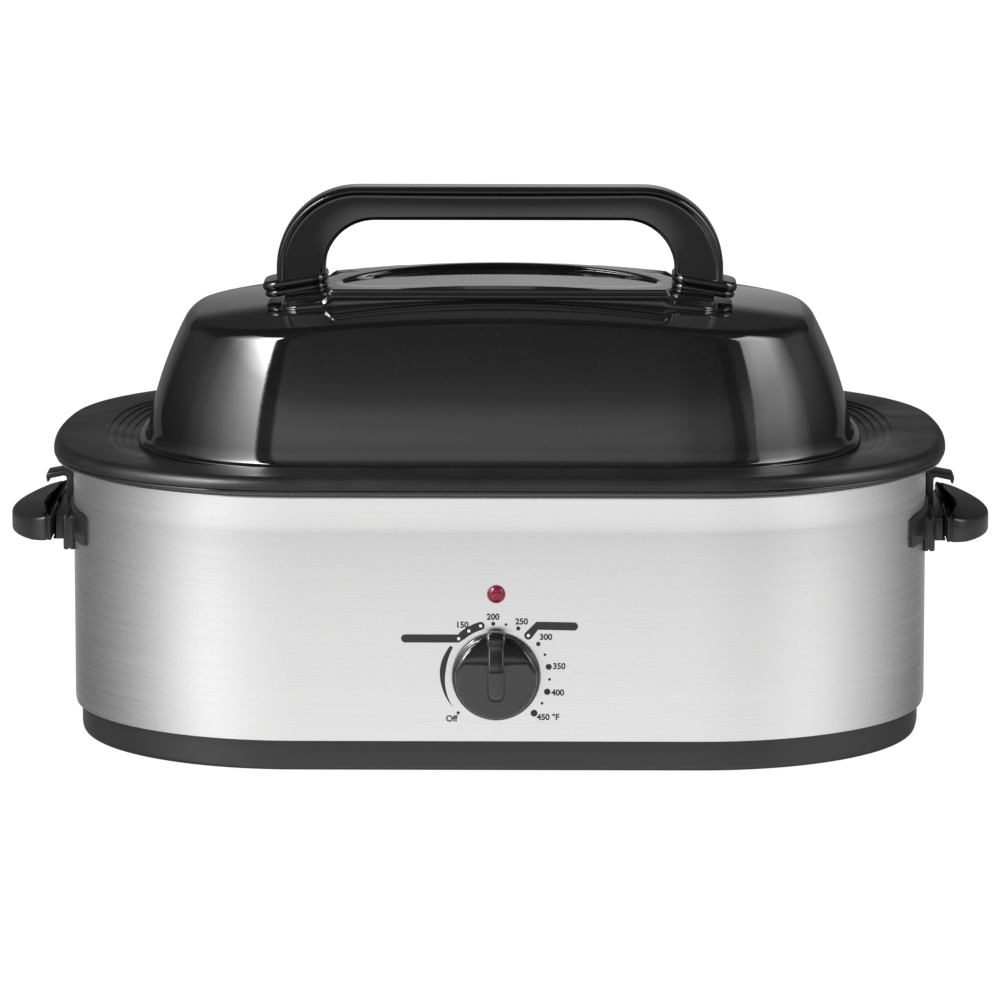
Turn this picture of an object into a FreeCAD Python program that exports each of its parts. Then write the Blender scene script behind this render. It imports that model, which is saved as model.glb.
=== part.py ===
"""Electric roaster oven: steel body on a plastic base, lift-out pan and rack, lift-off domed lid.

Millimetres, +Z up. The origin is on the table under the middle of the body. The front, with the
control knob, faces -Y. Every driving size is a cell of the Sizes sheet, and each sub-part is an
object of the document whose Label is the name of its STEP file.
"""
import FreeCAD, Part
import math
import os
import re
import Sketcher
from FreeCAD import Placement, Rotation, Vector

doc = FreeCAD.newDocument("roaster_oven")
sheet = doc.addObject("Spreadsheet::Sheet", "Sizes")

# Plan outlines are ovals: straight front and back, round corners, flatter round ends.
# Each is given by half length, half width, corner radius and end radius.
SIZES = {
    # steel body
    "shell_half_x": 265.4, "shell_half_y": 186.0, "shell_corner": 141.0, "shell_end": 490.0,
    "shell_bottom": 23.0, "shell_top": 174.9, "shell_wall": 0.6, "shell_hem": 10.0,
    "shell_seam": 0.05,
    # plastic base and its feet
    "base_inset": 4.0, "base_bottom": 4.0, "base_wall": 2.6, "base_edge_fillet": 3.5,
    "base_screw_x": 90.0, "base_screw_wall_gap": 6.2, "boss_radius": 5.0,
    "vent_length": 60.0, "vent_width": 4.0, "vent_pitch": 12.0, "vent_count": 7,
    "foot_x": 185.0, "foot_y": 105.0, "foot_radius": 12.0, "foot_stem": 4.0,
    "standoff_x": 120.0, "standoff_y": 70.0,
    # enamelled well inside the body, with the heating element wrapped round it
    "liner_half_x": 216.0, "liner_half_y": 147.0, "liner_corner": 106.0, "liner_end": 410.0,
    "liner_floor": 36.0, "liner_wall": 0.7, "liner_fillet": 18.0,
    "blanket_gap": 3.0, "blanket_thick": 8.0, "blanket_bottom": 46.0, "blanket_top": 160.0,
    "element_radius": 3.2, "element_gap": 4.4, "element_low": 62.0, "element_pitch": 26.0,
    "element_end_x": 62.0,
    # black ring between the body and the pan
    "ring_reach": 11.0, "ring_inner": 37.0, "ring_bottom": 174.3, "ring_top": 177.2,
    "collar_bottom": 171.5, "collar_grow": 2.0,
    # cooking pan
    "pan_half_x": 210.0, "pan_half_y": 141.0, "pan_corner": 100.0, "pan_end": 400.0,
    "pan_taper": 6.0, "pan_floor": 43.0, "pan_wall": 0.8, "pan_fillet": 24.0,
    "brim_reach": 12.0, "brim_top": 185.0, "brim_fillet": 7.0, "skirt_bottom": 177.3,
    "seat_half_x": 244.0, "seat_half_y": 158.0, "seat_corner": 110.0, "seat_end": 420.0,
    "seat_step_x": 5.0, "seat_step_y": 0.7, "seat_step_z": 0.75, "seat_steps": 4,
    # domed lid
    "lid_half_x": 220.0, "lid_half_y": 149.0, "lid_corner": 108.0, "lid_end": 420.0,
    "lid_bottom": 182.1, "lid_wall": 0.9, "lid_lip": 4.6, "lid_lip_thick": 1.6,
    "lid_draft": 9.0, "lid_side_radius": 237.0, "lid_shoulder": 12.0,
    "crown_top": 274.0, "crown_length_radius": 1317.0, "crown_width_radius": 1333.0,
    "plinth_half_x": 134.0, "plinth_half_y": 60.0, "plinth_corner": 12.0,
    "plinth_top": 279.4, "plinth_bead": 3.0, "plinth_inset": 1.4, "rail_width": 6.0,
    "panel_top": 281.4, "panel_radius": 926.0, "dish_half_x": 98.0, "dish_half_y": 53.5,
    "dish_depth": 4.5, "steam_slot_x": 168.0, "steam_slot_length": 8.5, "steam_slot_width": 1.6,
    # lid handle
    "arch_half_x": 139.5, "arch_top": 336.6, "arch_bar": 20.4, "arch_leg": 31.0,
    "arch_outer_radius": 47.5, "arch_inner_radius": 31.0, "arch_depth": 27.0,
    "arch_rim": 5.0, "arch_rim_depth": 31.0, "arch_foot": 271.0,
    "flange_inner_x": 106.0, "flange_half_y": 20.0, "flange_length": 40.5, "flange_tilt": 9.5,
    "flange_thick": 3.9, "flange_height": 275.2, "flange_bead_inset": 1.8, "flange_seat": 6.0,
    "flange_corner": 8.0,
    "lid_screw_x": 124.0, "lid_screw_radius": 2.5, "lid_screw_top": 290.0,
    # side handles, each with a hook that holds the lid
    "grip_tip_x": 305.3, "grip_inner_x": 276.0, "grip_half_y": 68.0, "grip_corner": 16.0,
    "grip_top": 134.6, "grip_thick": 13.0, "grip_slope": 10.5, "grip_under_slope": 5.0,
    "notch_half_y": 11.5, "notch_outer_x": 283.0,
    "neck_half_y": 50.0, "neck_top": 137.0, "neck_bottom": 122.0,
    "plate_outer_x": 268.8, "plate_half_y": 63.0, "plate_bottom": 117.5, "plate_top": 139.0,
    "gasket_thick": 1.0, "hook_half_y": 11.5, "hook_top": 159.0, "hook_tip_x": 283.4,
    "hook_root_x": 266.2, "hook_stem": 4.3, "hook_arm": 3.0,
    "side_screw_y": 35.0, "side_screw_height": 129.0, "side_screw_radius": 2.0,
    # controls on the front
    "knob_height": 63.0, "knob_gap": 0.8, "knob_skirt_radius": 26.6, "knob_face_radius": 24.3,
    "knob_skirt": 3.2, "knob_depth": 10.5, "grip_bar_depth": 20.0, "grip_bar_width": 10.2,
    "grip_bar_up": 30.0, "grip_bar_down": 14.0, "spindle_radius": 3.0, "spindle_flat": 1.6,
    "spindle_clearance": 0.06, "spindle_front": 14.0, "spindle_back": 26.0,
    "stat_half_x": 19.0, "stat_half_z": 17.0, "stat_depth": 17.0, "stat_gap": 2.0,
    "bush_radius": 5.0, "stat_screw_x": 14.0, "lamp_height": 113.0, "lamp_radius": 5.45,
    "lamp_body_radius": 4.2, "lamp_length": 17.0, "bulb_radius": 2.6, "bulb_half_x": 36.0,
    "bulb_height": 118.0, "bulb_end_x": -8.0,
    # back of the body
    "cord_x": 70.0, "cord_height": 45.0, "cord_radius": 4.0, "gland_radius": 8.0,
    "gland_reach": 17.0, "terminal_x": 70.0, "terminal_y": 136.0, "terminal_pitch": 14.0,
    "terminal_length": 44.0, "terminal_width": 20.0, "terminal_height": 14.0,
    # roasting rack
    "rack_half_x": 186.0, "rack_half_y": 116.0, "rack_corner": 78.0, "rack_end": 380.0,
    "rack_height": 62.0, "rack_frame_radius": 2.6, "rack_wire_radius": 1.7, "rack_pitch": 31.0,
    "rack_wires": 11, "rack_grip_top": 150.0, "rack_grip_half_y": 55.0, "rack_leg_x": 120.0,
    "rack_leg_radius": 2.0, "rack_bend": 9.0,
}

for row, (alias, size) in enumerate(SIZES.items(), start=1):
    sheet.set(f"A{row}", alias)
    sheet.set(f"B{row}", str(size))
    sheet.setAlias(f"B{row}", alias)
doc.recompute()


def bound(text):
    """Expression over the sheet, from one that names its cells without the sheet."""
    return re.sub(r"[a-z]\w*", lambda word: f"Sizes.{word[0]}" if word[0] in SIZES else word[0], text)


def value(text):
    """What an expression over the sheet comes to now."""
    return float(sheet.evalExpression(bound(text)))


# ---------------------------------------------------------------- bodies, sketches and features

def new_body(label):
    body = doc.addObject("PartDesign::Body", label)
    body.Label = label
    return body


def new_sketch(body, role="XY_Plane", height="0"):
    """Sketch on one of the body's own origin planes, moved along its normal."""
    sketch = body.newObject("Sketcher::SketchObject", f"{body.Name}_sketch")
    plane = next(item for item in body.Origin.OriginFeatures if item.Role == role)
    sketch.AttachmentSupport = [(plane, "")]
    sketch.MapMode = "FlatFace"
    sketch.setExpression("AttachmentOffset.Base.z", bound(height))
    return sketch


def rule(sketch, kind, *refs, size=None):
    """One constraint, bound to the sheet when it has a size."""
    if size is None:
        return sketch.addConstraint(Sketcher.Constraint(kind, *refs))
    index = sketch.addConstraint(Sketcher.Constraint(kind, *refs, value(size)))
    sketch.setExpression(f"Constraints[{index}]", bound(size))
    return index


def place(sketch, geometry, point, x, y):
    """Fix one point of a curve at (x, y) from the sketch's origin."""
    for kind, axis, size in (("DistanceX", -2, x), ("DistanceY", -1, y)):
        if abs(value(size)) < 1e-9:
            rule(sketch, "PointOnObject", geometry, point, axis)
        else:
            rule(sketch, kind, -1, 1, geometry, point, size=size)


def chain(sketch, count, first, kind="Tangent"):
    """Join the curves first .. first + count - 1 end to end into a loop."""
    for step in range(count):
        rule(sketch, kind, first + step, 2, first + (step + 1) % count, 1)


def oval(sketch, half_x, half_y, corner, end):
    """Closed plan outline of a front and back line, four corner arcs and two end arcs."""
    length, width, small, large = (value(size) for size in (half_x, half_y, corner, end))
    end_x = length - large
    corner_y = width - small
    corner_x = end_x + math.sqrt((large - small) ** 2 - corner_y ** 2)
    lean = math.atan2(corner_y, corner_x - end_x)
    right = math.pi / 2

    def arc(x, y, radius, start, stop):
        return Part.ArcOfCircle(Part.Circle(Vector(x, y), Vector(0, 0, 1), radius), start, stop)

    first = sketch.GeometryCount
    sketch.addGeometry([
        Part.LineSegment(Vector(-corner_x, -width), Vector(corner_x, -width)),
        arc(corner_x, -corner_y, small, -right, -lean),
        arc(end_x, 0, large, -lean, lean),
        arc(corner_x, corner_y, small, lean, right),
        Part.LineSegment(Vector(corner_x, width), Vector(-corner_x, width)),
        arc(-corner_x, corner_y, small, right, 2 * right - lean),
        arc(-end_x, 0, large, 2 * right - lean, 2 * right + lean),
        arc(-corner_x, -corner_y, small, 2 * right + lean, 3 * right),
    ], False)
    front, front_right, right_end, back, left_end = first, first + 1, first + 2, first + 4, first + 6
    chain(sketch, 8, first)
    for line in (front, back):
        rule(sketch, "Horizontal", line)
    for other in (first + 3, first + 5, first + 7):
        rule(sketch, "Equal", front_right, other)
    rule(sketch, "Equal", right_end, left_end)
    rule(sketch, "Radius", front_right, size=corner)
    rule(sketch, "Radius", right_end, size=end)
    for end_arc in (right_end, left_end):
        rule(sketch, "PointOnObject", end_arc, 3, -1)
    rule(sketch, "DistanceY", front, 1, -1, 1, size=half_y)
    rule(sketch, "DistanceY", -1, 1, back, 1, size=half_y)
    centre = f"({end}) - ({half_x})"
    rule(sketch, "DistanceX", right_end, 3, -1, 1, size=centre)
    rule(sketch, "DistanceX", -1, 1, left_end, 3, size=centre)


def family_oval(sketch, family, grow="0"):
    """Oval of a family of sizes, offset outwards by grow all round."""
    oval(sketch, *(f"{family}_{part} + ({grow})" for part in ("half_x", "half_y", "corner", "end")))


def polygon(sketch, points):
    """Closed outline through points, each a pair of expressions."""
    first = sketch.GeometryCount
    corners = [Vector(value(x), value(y)) for x, y in points]
    count = len(corners)
    for step in range(count):
        sketch.addGeometry(Part.LineSegment(corners[step], corners[(step + 1) % count]), False)
    chain(sketch, count, first, "Coincident")
    for step, (x, y) in enumerate(points):
        place(sketch, first + step, 1, x, y)


def rectangle(sketch, left, right, low, high):
    polygon(sketch, [(left, low), (right, low), (right, high), (left, high)])


def circle(sketch, x, y, radius):
    round_hole = sketch.addGeometry(Part.Circle(Vector(value(x), value(y)), Vector(0, 0, 1), value(radius)))
    place(sketch, round_hole, 3, x, y)
    rule(sketch, "Radius", round_hole, size=radius)


def rounded_rectangle(sketch, half_x, half_y, radius, x="0", y="0"):
    """Rectangle about (x, y) with round corners."""
    cx, cy, wide, high, small = (value(size) for size in (x, y, half_x, half_y, radius))
    first = sketch.GeometryCount
    turns = [(1, -1), (1, 1), (-1, 1), (-1, -1)]
    spots = [Vector(cx + sx * (wide - small), cy + sy * (high - small)) for sx, sy in turns]
    for step, spot in enumerate(spots):
        before = spots[step - 1]
        out = Vector(*((0, -small), (small, 0), (0, small), (-small, 0))[step])
        sketch.addGeometry(Part.LineSegment(before + out, spot + out), False)
        start = (step - 1) * math.pi / 2
        ring = Part.Circle(spot, Vector(0, 0, 1), small)
        sketch.addGeometry(Part.ArcOfCircle(ring, start, start + math.pi / 2), False)
    chain(sketch, 8, first)
    for step, kind in enumerate(("Horizontal", "Vertical", "Horizontal", "Vertical")):
        rule(sketch, kind, first + 2 * step)
    for step in (1, 2, 3):
        rule(sketch, "Equal", first + 1, first + 1 + 2 * step)
    rule(sketch, "Radius", first + 1, size=radius)
    low, side, top, far = first, first + 2, first + 4, first + 6
    rule(sketch, "DistanceY", -1, 1, low, 1, size=f"({y}) - ({half_y})")
    rule(sketch, "DistanceY", -1, 1, top, 1, size=f"({y}) + ({half_y})")
    rule(sketch, "DistanceX", -1, 1, side, 1, size=f"({x}) + ({half_x})")
    rule(sketch, "DistanceX", -1, 1, far, 1, size=f"({x}) - ({half_x})")


def feature(body, kind, sketch, length=None, down=False, both=False, angle=None, axis=None):
    """Pad, Pocket, Revolution or Groove of one sketch."""
    item = body.newObject(f"PartDesign::{kind}", f"{body.Name}_{kind.lower()}")
    item.Profile = sketch
    item.Reversed = down
    if length is not None:
        item.setExpression("Length", bound(length))
    if both:
        item.Midplane = True
    if axis is not None:
        item.ReferenceAxis = (sketch, [axis])
        item.Angle = angle
    sketch.Visibility = False
    return item


def prism(body, draw, low, high):
    """Pad between two heights of the outline that draw(sketch) makes."""
    sketch = new_sketch(body, "XY_Plane", low)
    draw(sketch)
    return feature(body, "Pad", sketch, f"({high}) - ({low})")


def prism_cut(body, draw, low, high):
    """Pocket, opened from its top, between two heights."""
    sketch = new_sketch(body, "XY_Plane", high)
    draw(sketch)
    return feature(body, "Pocket", sketch, f"({high}) - ({low})")


def drilled(body, role, spots, radius, start, depth, kind="Pocket", down=False):
    """Round holes, or studs when kind is Pad, at spots of a plane moved to start."""
    sketch = new_sketch(body, role, start)
    for x, y in spots:
        circle(sketch, x, y, radius)
    return feature(body, kind, sketch, depth, down=down)


def fillet(body, radius, wanted):
    """Round the edges of the body's last solid whose every point passes wanted(point)."""
    doc.recompute()
    base = body.Tip
    names = []
    for index, edge in enumerate(base.Shape.Edges, start=1):
        first, last = edge.ParameterRange
        points = [edge.valueAt(first + (last - first) * step / 4) for step in range(5)]
        if all(wanted(point) for point in points):
            names.append(f"Edge{index}")
    if not names:
        raise ValueError(f"{body.Name}: no edge to round")
    item = body.newObject("PartDesign::Fillet", f"{body.Name}_fillet")
    item.Base = (base, names)
    item.setExpression("Radius", bound(radius))
    return item


def at_height(height):
    level = value(height)
    return lambda point: abs(point.z - level) < 0.01


def turned(label, profile, x="0", y="0", z="0", tilt=None):
    """Body of revolution: profile is (radius, height) pairs about its own upright axis."""
    body = new_body(label)
    sketch = new_sketch(body, "XZ_Plane")
    polygon(sketch, profile)
    feature(body, "Revolution", sketch, angle=360.0, axis="V_Axis")
    body.Placement = Placement(Vector(value(x), value(y), value(z)), tilt or Rotation())
    return body


FACING_FRONT = Rotation(Vector(1, 0, 0), 90)
FACING_BACK = Rotation(Vector(1, 0, 0), -90)
FACING_LEFT = Rotation(Vector(0, 1, 0), -90)


def group(label, shapes):
    """One sub-part made of separate equal solids."""
    item = doc.addObject("Part::Feature", label)
    item.Label = label
    item.Shape = Part.makeCompound(shapes)
    return item


def solid(label, shape):
    item = doc.addObject("Part::Feature", label)
    item.Label = label
    item.Shape = shape
    return item


def cap_screw(radius, length, head_radius, head_height):
    """Screw along +Z: its head below zero, its shank above."""
    head = Part.makeCylinder(head_radius, head_height, Vector(0, 0, -head_height))
    rim = [edge for edge in head.Edges if abs(edge.BoundBox.ZMin + head_height) < 1e-6 and edge.Closed]
    head = head.makeFillet(head_height * 0.4, rim)
    return head.fuse(Part.makeCylinder(radius, length)).removeSplitter()


def placed(shape, position, rotation=None):
    moved = shape.copy()
    moved.Placement = Placement(position, rotation or Rotation())
    return moved


# ---------------------------------------------------------------- steel body and base

def make_shell(label, away):
    """Front or back half of the brushed steel wrapper, with its hem and its holes.

    The halves meet under the side handles. away is -1 for the back half and 1 for the front one: the
    side of Y that is cut off.
    """
    body = new_body(label)

    def wall(sketch):
        family_oval(sketch, "shell")
        family_oval(sketch, "shell", "-shell_wall")

    def hem(sketch):
        family_oval(sketch, "shell", "-shell_wall / 2")
        family_oval(sketch, "shell", "-shell_hem")

    prism(body, wall, "shell_bottom", "shell_top")
    prism(body, hem, "shell_bottom", "shell_bottom + shell_wall")
    front = "shell_half_y + 5"
    for x, z, radius in (("0", "knob_height", "bush_radius + 0.2"),
                         ("0", "lamp_height", "lamp_body_radius + 0.1"),
                         ("stat_screw_x", "knob_height", "1.7"), ("-stat_screw_x", "knob_height", "1.7")):
        drilled(body, "XZ_Plane", [(x, z)], radius, front, "10")
    drilled(body, "XZ_Plane", [("cord_x", "cord_height")], "gland_radius", "-shell_half_y + 5", "10")
    for side, start in (("1", "shell_half_x + 5"), ("-1", "-shell_half_x + 10")):
        spots = [("side_screw_y", "side_screw_height"), ("-side_screw_y", "side_screw_height")]
        drilled(body, "YZ_Plane", spots, "side_screw_radius + 0.2", start, "15")
    drilled(body, "XY_Plane", base_screw_spots(), "1.7", "shell_bottom + 5", "10")
    near, far = ("-shell_seam", "shell_half_y + 5") if away > 0 else ("-shell_half_y - 5", "shell_seam")
    prism_cut(body, lambda s: rectangle(s, "-shell_half_x - 5", "shell_half_x + 5", near, far),
              "shell_bottom - 5", "shell_top + 5")
    return body


def base_screw_spots():
    """Plan places of the screws that hold the base to the shell's hem."""
    side = "shell_half_y - base_inset - base_screw_wall_gap"
    tip = "shell_half_x - base_inset - base_screw_wall_gap"
    spots = [(x, y) for x in ("base_screw_x", "-base_screw_x") for y in (side, f"-({side})")]
    return spots + [(tip, "0"), (f"-({tip})", "0")]


def foot_spots():
    return [(x, y) for y in ("-foot_y", "foot_y") for x in ("-foot_x", "foot_x")]


def make_base_tray():
    """Moulded base: a shallow tray with screw bosses, cooling slots and holes for the feet."""
    body = new_body("base_tray")
    prism(body, lambda s: family_oval(s, "shell", "-base_inset"), "base_bottom", "shell_bottom")
    fillet(body, "base_edge_fillet", at_height("base_bottom"))
    prism_cut(body, lambda s: family_oval(s, "shell", "-base_inset - base_wall"),
              "base_bottom + base_wall", "shell_bottom")
    drilled(body, "XY_Plane", base_screw_spots(), "boss_radius", "base_bottom + base_wall",
            "shell_bottom - base_bottom - base_wall", kind="Pad")
    drilled(body, "XY_Plane", base_screw_spots(), "1.6", "shell_bottom + 1", "30")
    drilled(body, "XY_Plane", base_screw_spots(), "3.4", "base_bottom + 6", "10")
    drilled(body, "XY_Plane", foot_spots(), "foot_stem", "base_bottom + 10", "20")
    drilled(body, "XY_Plane", standoff_spots(), "1.8", "base_bottom + 10", "20")
    sketch = new_sketch(body, "XY_Plane", "base_bottom + 10")
    rounded_rectangle(sketch, "vent_width / 2", "vent_length / 2", "vent_width * 0.49",
                      "-vent_pitch * (vent_count - 1) / 2", "0")
    slot = feature(body, "Pocket", sketch, "20")
    slots = body.newObject("PartDesign::LinearPattern", "base_tray_slots")
    slots.Originals = [slot]
    slots.Direction = (sketch, ["H_Axis"])
    slots.Occurrences = int(value("vent_count"))
    slots.setExpression("Length", bound("vent_pitch * (vent_count - 1)"))
    body.Tip = slots
    return body


def make_base_screws():
    screw = cap_screw(1.5, value("shell_bottom + shell_wall - base_bottom - 6") + 1.5, 3.2, 2.4)
    spots = [Vector(value(x), value(y), value("base_bottom + 6")) for x, y in base_screw_spots()]
    return group("base_screws", [placed(screw, spot) for spot in spots])


def make_feet():
    """Four rubber feet, each pushed through the base and held by its barb."""
    names = ("foot_front_left", "foot_front_right", "foot_rear_left", "foot_rear_right")
    profile = [("0", "0"), ("foot_radius - 1.5", "0"), ("foot_radius", "base_bottom"),
               ("foot_stem", "base_bottom"), ("foot_stem", "base_bottom + base_wall"),
               ("foot_stem + 1.5", "base_bottom + base_wall"),
               ("foot_stem - 1", "base_bottom + base_wall + 4"), ("0", "base_bottom + base_wall + 4")]
    return [turned(name, profile, x, y) for name, (x, y) in zip(names, foot_spots())]


def standoff_spots():
    return [(x, y) for x in ("-standoff_x", "standoff_x") for y in ("-standoff_y", "standoff_y")]


def make_liner_standoffs():
    """Hexagonal posts that hold the well off the base."""
    floor = value("base_bottom + base_wall")
    height = value("liner_floor") - floor
    turns = [math.radians(60 * side) for side in range(7)]
    corners = [Vector(5 * math.cos(turn), 5 * math.sin(turn)) for turn in turns]
    post = Part.Face(Part.makePolygon(corners)).extrude(Vector(0, 0, height))
    post = post.cut(Part.makeCylinder(1.5, 12))
    return group("liner_standoffs", [placed(post, Vector(value(x), value(y), floor))
                                     for x, y in standoff_spots()])


def make_standoff_screws():
    screw = cap_screw(1.5, 11.0, 3.2, 2.2)
    return group("standoff_screws", [placed(screw, Vector(value(x), value(y), value("base_bottom")))
                                     for x, y in standoff_spots()])


def make_ring():
    """Black ring that closes the gap between the body and the well and carries the pan's skirt."""
    body = new_body("upper_rim_ring")

    def band(outer, inner):
        def draw(sketch):
            family_oval(sketch, "shell", outer)
            family_oval(sketch, "shell", inner)
        return draw

    prism(body, band("ring_reach", "-ring_inner"), "shell_top + 0.1", "ring_top - 0.8")
    prism(body, band("ring_reach", "-ring_inner + 10"), "ring_top - 0.8", "ring_top")
    prism(body, band("ring_reach", "0.2"), "ring_bottom", "shell_top + 0.1")
    prism(body, band("collar_grow", "0.2"), "collar_bottom", "ring_bottom")
    prism(body, band("-shell_wall - 0.2", "-shell_wall - 2"), "shell_top - 6", "shell_top + 0.1")
    reach = value("shell_half_y + ring_reach")
    long_reach = value("shell_half_x + ring_reach")
    fillet(body, "1.2", lambda p: (on_outline(p, long_reach, reach, "ring_reach")
                                   and (at_height("ring_top")(p) or at_height("ring_bottom")(p))))
    return body


def on_outline(point, half_x, half_y, grow):
    """Whether a point lies on the shell's outline offset by grow, by its distance from the arcs."""
    small = value(f"shell_corner + {grow}")
    large = value(f"shell_end + {grow}")
    end_x = half_x - large
    corner_y = half_y - small
    corner_x = end_x + math.sqrt((large - small) ** 2 - corner_y ** 2)
    x, y = abs(point.x), abs(point.y)
    on_side = x <= corner_x + 0.01 and abs(y - half_y) < 0.01
    on_corner = abs(math.hypot(x - corner_x, y - corner_y) - small) < 0.01
    on_end = abs(math.hypot(x - end_x, y) - large) < 0.01
    return on_side or on_corner or on_end


def make_liner():
    """Enamelled well: a deep tub with a flange that rests on the ring."""
    body = new_body("well_liner")
    prism(body, lambda s: family_oval(s, "liner", "liner_wall"), "liner_floor", "ring_top - 0.8")
    prism(body, lambda s: family_oval(s, "shell", "-ring_inner + 9.7"), "ring_top - 0.8", "ring_top")
    prism_cut(body, lambda s: family_oval(s, "liner"), "liner_floor + liner_wall", "ring_top")
    fillet(body, "liner_fillet - liner_wall", at_height("liner_floor + liner_wall"))
    fillet(body, "liner_fillet", at_height("liner_floor"))
    drilled(body, "XY_Plane", standoff_spots(), "1.0", "liner_floor + 4", "10")
    return body


def make_blanket():
    """Glass-fibre blanket inside the steel, cut away behind the controls and the cord."""
    body = new_body("insulation_blanket")

    def band(sketch):
        family_oval(sketch, "shell", "-shell_wall - blanket_gap")
        family_oval(sketch, "shell", "-shell_wall - blanket_gap - blanket_thick")

    prism(body, band, "blanket_bottom", "blanket_top")
    sketch = new_sketch(body, "XZ_Plane", "shell_half_y + 5")
    rectangle(sketch, "-stat_half_x - 12", "stat_half_x + 12", "blanket_bottom - 10", "lamp_height + 16")
    feature(body, "Pocket", sketch, "45")
    sketch = new_sketch(body, "XZ_Plane", "-shell_half_y + 45")
    rectangle(sketch, "cord_x - 22", "cord_x + 22", "blanket_bottom - 10", "cord_height + 25")
    feature(body, "Pocket", sketch, "50")
    for start in ("shell_half_x + 5", "-shell_half_x + 30"):
        drilled(body, "YZ_Plane", [("side_screw_y", "side_screw_height"),
                                   ("-side_screw_y", "side_screw_height")], "6", start, "35")
    return body


# ---------------------------------------------------------------- heating element and wiring

def oval_run(family, grow, z):
    """Edges of a family's oval from its front right corner, round by the back, to the front left one."""
    length, width, small, large = (value(f"{family}_{part}") + grow
                                   for part in ("half_x", "half_y", "corner", "end"))
    end_x = length - large
    corner_y = width - small
    corner_x = end_x + math.sqrt((large - small) ** 2 - corner_y ** 2)
    lean = math.degrees(math.atan2(corner_y, corner_x - end_x))

    def arc(x, y, radius, start, stop):
        return Part.makeCircle(radius, Vector(x, y, z), Vector(0, 0, 1), start, stop)

    edges = [arc(corner_x, -corner_y, small, -90, -lean),
             arc(end_x, 0, large, -lean, lean),
             arc(corner_x, corner_y, small, lean, 90),
             Part.makeLine(Vector(corner_x, width, z), Vector(-corner_x, width, z)),
             arc(-corner_x, corner_y, small, 90, 180 - lean),
             arc(-end_x, 0, large, 180 - lean, 180 + lean),
             arc(-corner_x, -corner_y, small, 180 + lean, 270)]
    return edges, corner_x, width


def element_path():
    """Centre line: once round the well, a bend up, and back round above."""
    start_x = value("element_end_x")

    def lap(z):
        edges, corner_x, width = oval_run("liner", value("liner_wall + element_gap"), z)
        return [Part.makeLine(Vector(start_x, -width, z), Vector(corner_x, -width, z)), *edges,
                Part.makeLine(Vector(-corner_x, -width, z), Vector(-start_x, -width, z))]

    width = value("liner_half_y + liner_wall + element_gap")
    low = value("element_low")
    pitch = value("element_pitch")
    bend = Part.Arc(Vector(-start_x, -width, low), Vector(-start_x + pitch / 2, -width, low + pitch / 2),
                    Vector(-start_x, -width, low + pitch)).toShape()
    upper = list(reversed(lap(low + pitch)))
    return Part.Wire(Part.__sortEdges__(lap(low) + [bend] + upper)), width


def tube_along(path, radius, start, direction):
    section = Part.Wire(Part.makeCircle(radius, start, direction))
    return path.makePipeShell([section], True, False)


def bent_wire(points, radius, bend):
    """Round wire through points, with its corners bent on an arc."""
    edges = []
    last = points[0]
    for before, corner, after in zip(points, points[1:], points[2:]):
        back = (before - corner).normalize()
        ahead = (after - corner).normalize()
        half = back.getAngle(ahead) / 2
        trim = bend / math.tan(half)
        start = corner + back * trim
        stop = corner + ahead * trim
        middle = corner + (back + ahead).normalize() * (bend / math.sin(half) - bend)
        edges += [Part.makeLine(last, start), Part.Arc(start, middle, stop).toShape()]
        last = stop
    edges.append(Part.makeLine(last, points[-1]))
    return tube_along(Part.Wire(edges), radius, points[0], points[1] - points[0])


def make_element():
    """Sheathed tubular element, two laps round the well below the pan."""
    path, width = element_path()
    start = Vector(value("element_end_x"), -width, value("element_low"))
    return solid("heating_element", tube_along(path, value("element_radius"), start, Vector(1, 0, 0)))


def make_element_terminals():
    """Ceramic bushes and cold pins on the element's two ends."""
    width = value("liner_half_y + liner_wall + element_gap")
    parts = []
    for z in (value("element_low"), value("element_low + element_pitch")):
        bush = Part.makeCylinder(4.2, 9, Vector(value("element_end_x"), -width, z), Vector(-1, 0, 0))
        pin = Part.makeCylinder(1.6, 9, Vector(value("element_end_x") - 9, -width, z), Vector(-1, 0, 0))
        parts.append(bush.fuse(pin).removeSplitter())
    return group("element_terminals", parts)


def make_element_clips():
    """Sprung straps that hold the element against the well's front and back."""
    low = value("element_low - element_radius - 7")
    high = value("element_low + element_pitch + element_radius + 7")
    near = value("liner_half_y + liner_wall")
    far = near + value("element_gap + element_radius")
    sheet_thick = 0.8
    outline = [(near, low), (near + sheet_thick, low), (near + sheet_thick, low + 5),
               (far + sheet_thick, low + 6.5), (far + sheet_thick, high - 6.5),
               (near + sheet_thick, high - 5), (near + sheet_thick, high), (near, high),
               (near, high - 5.6), (far, high - 7.2), (far, low + 7.2), (near, low + 5.6)]
    loop = [Vector(0, y, z) for y, z in outline]
    strap = Part.Face(Part.makePolygon(loop + loop[:1])).extrude(Vector(12, 0, 0))
    straps = []
    for x in (-96, 84):
        straps.append(placed(strap, Vector(x, 0, 0)))
        straps.append(placed(strap, Vector(-x, 0, 0), Rotation(Vector(0, 0, 1), 180)))
    return group("element_clips", straps)


def terminal_spots():
    """Tops of the three terminals, on the upper face of their block."""
    top = value("base_bottom + base_wall + terminal_height")
    return [Vector(value(f"terminal_x + {step} * terminal_pitch"), value("terminal_y"), top)
            for step in (-1, 0, 1)]


def make_terminal_block():
    """Ceramic block on the base where the cord's wires end."""
    length, width, height = (value(f"terminal_{size}") for size in ("length", "width", "height"))
    corner = terminal_spots()[1] - Vector(length / 2, width / 2, height)
    block = Part.makeBox(length, width, height, corner)
    for spot in terminal_spots():
        block = block.cut(Part.makeCylinder(2.0, 7, spot - Vector(0, 0, 7)))
    return solid("terminal_block", block)


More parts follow.
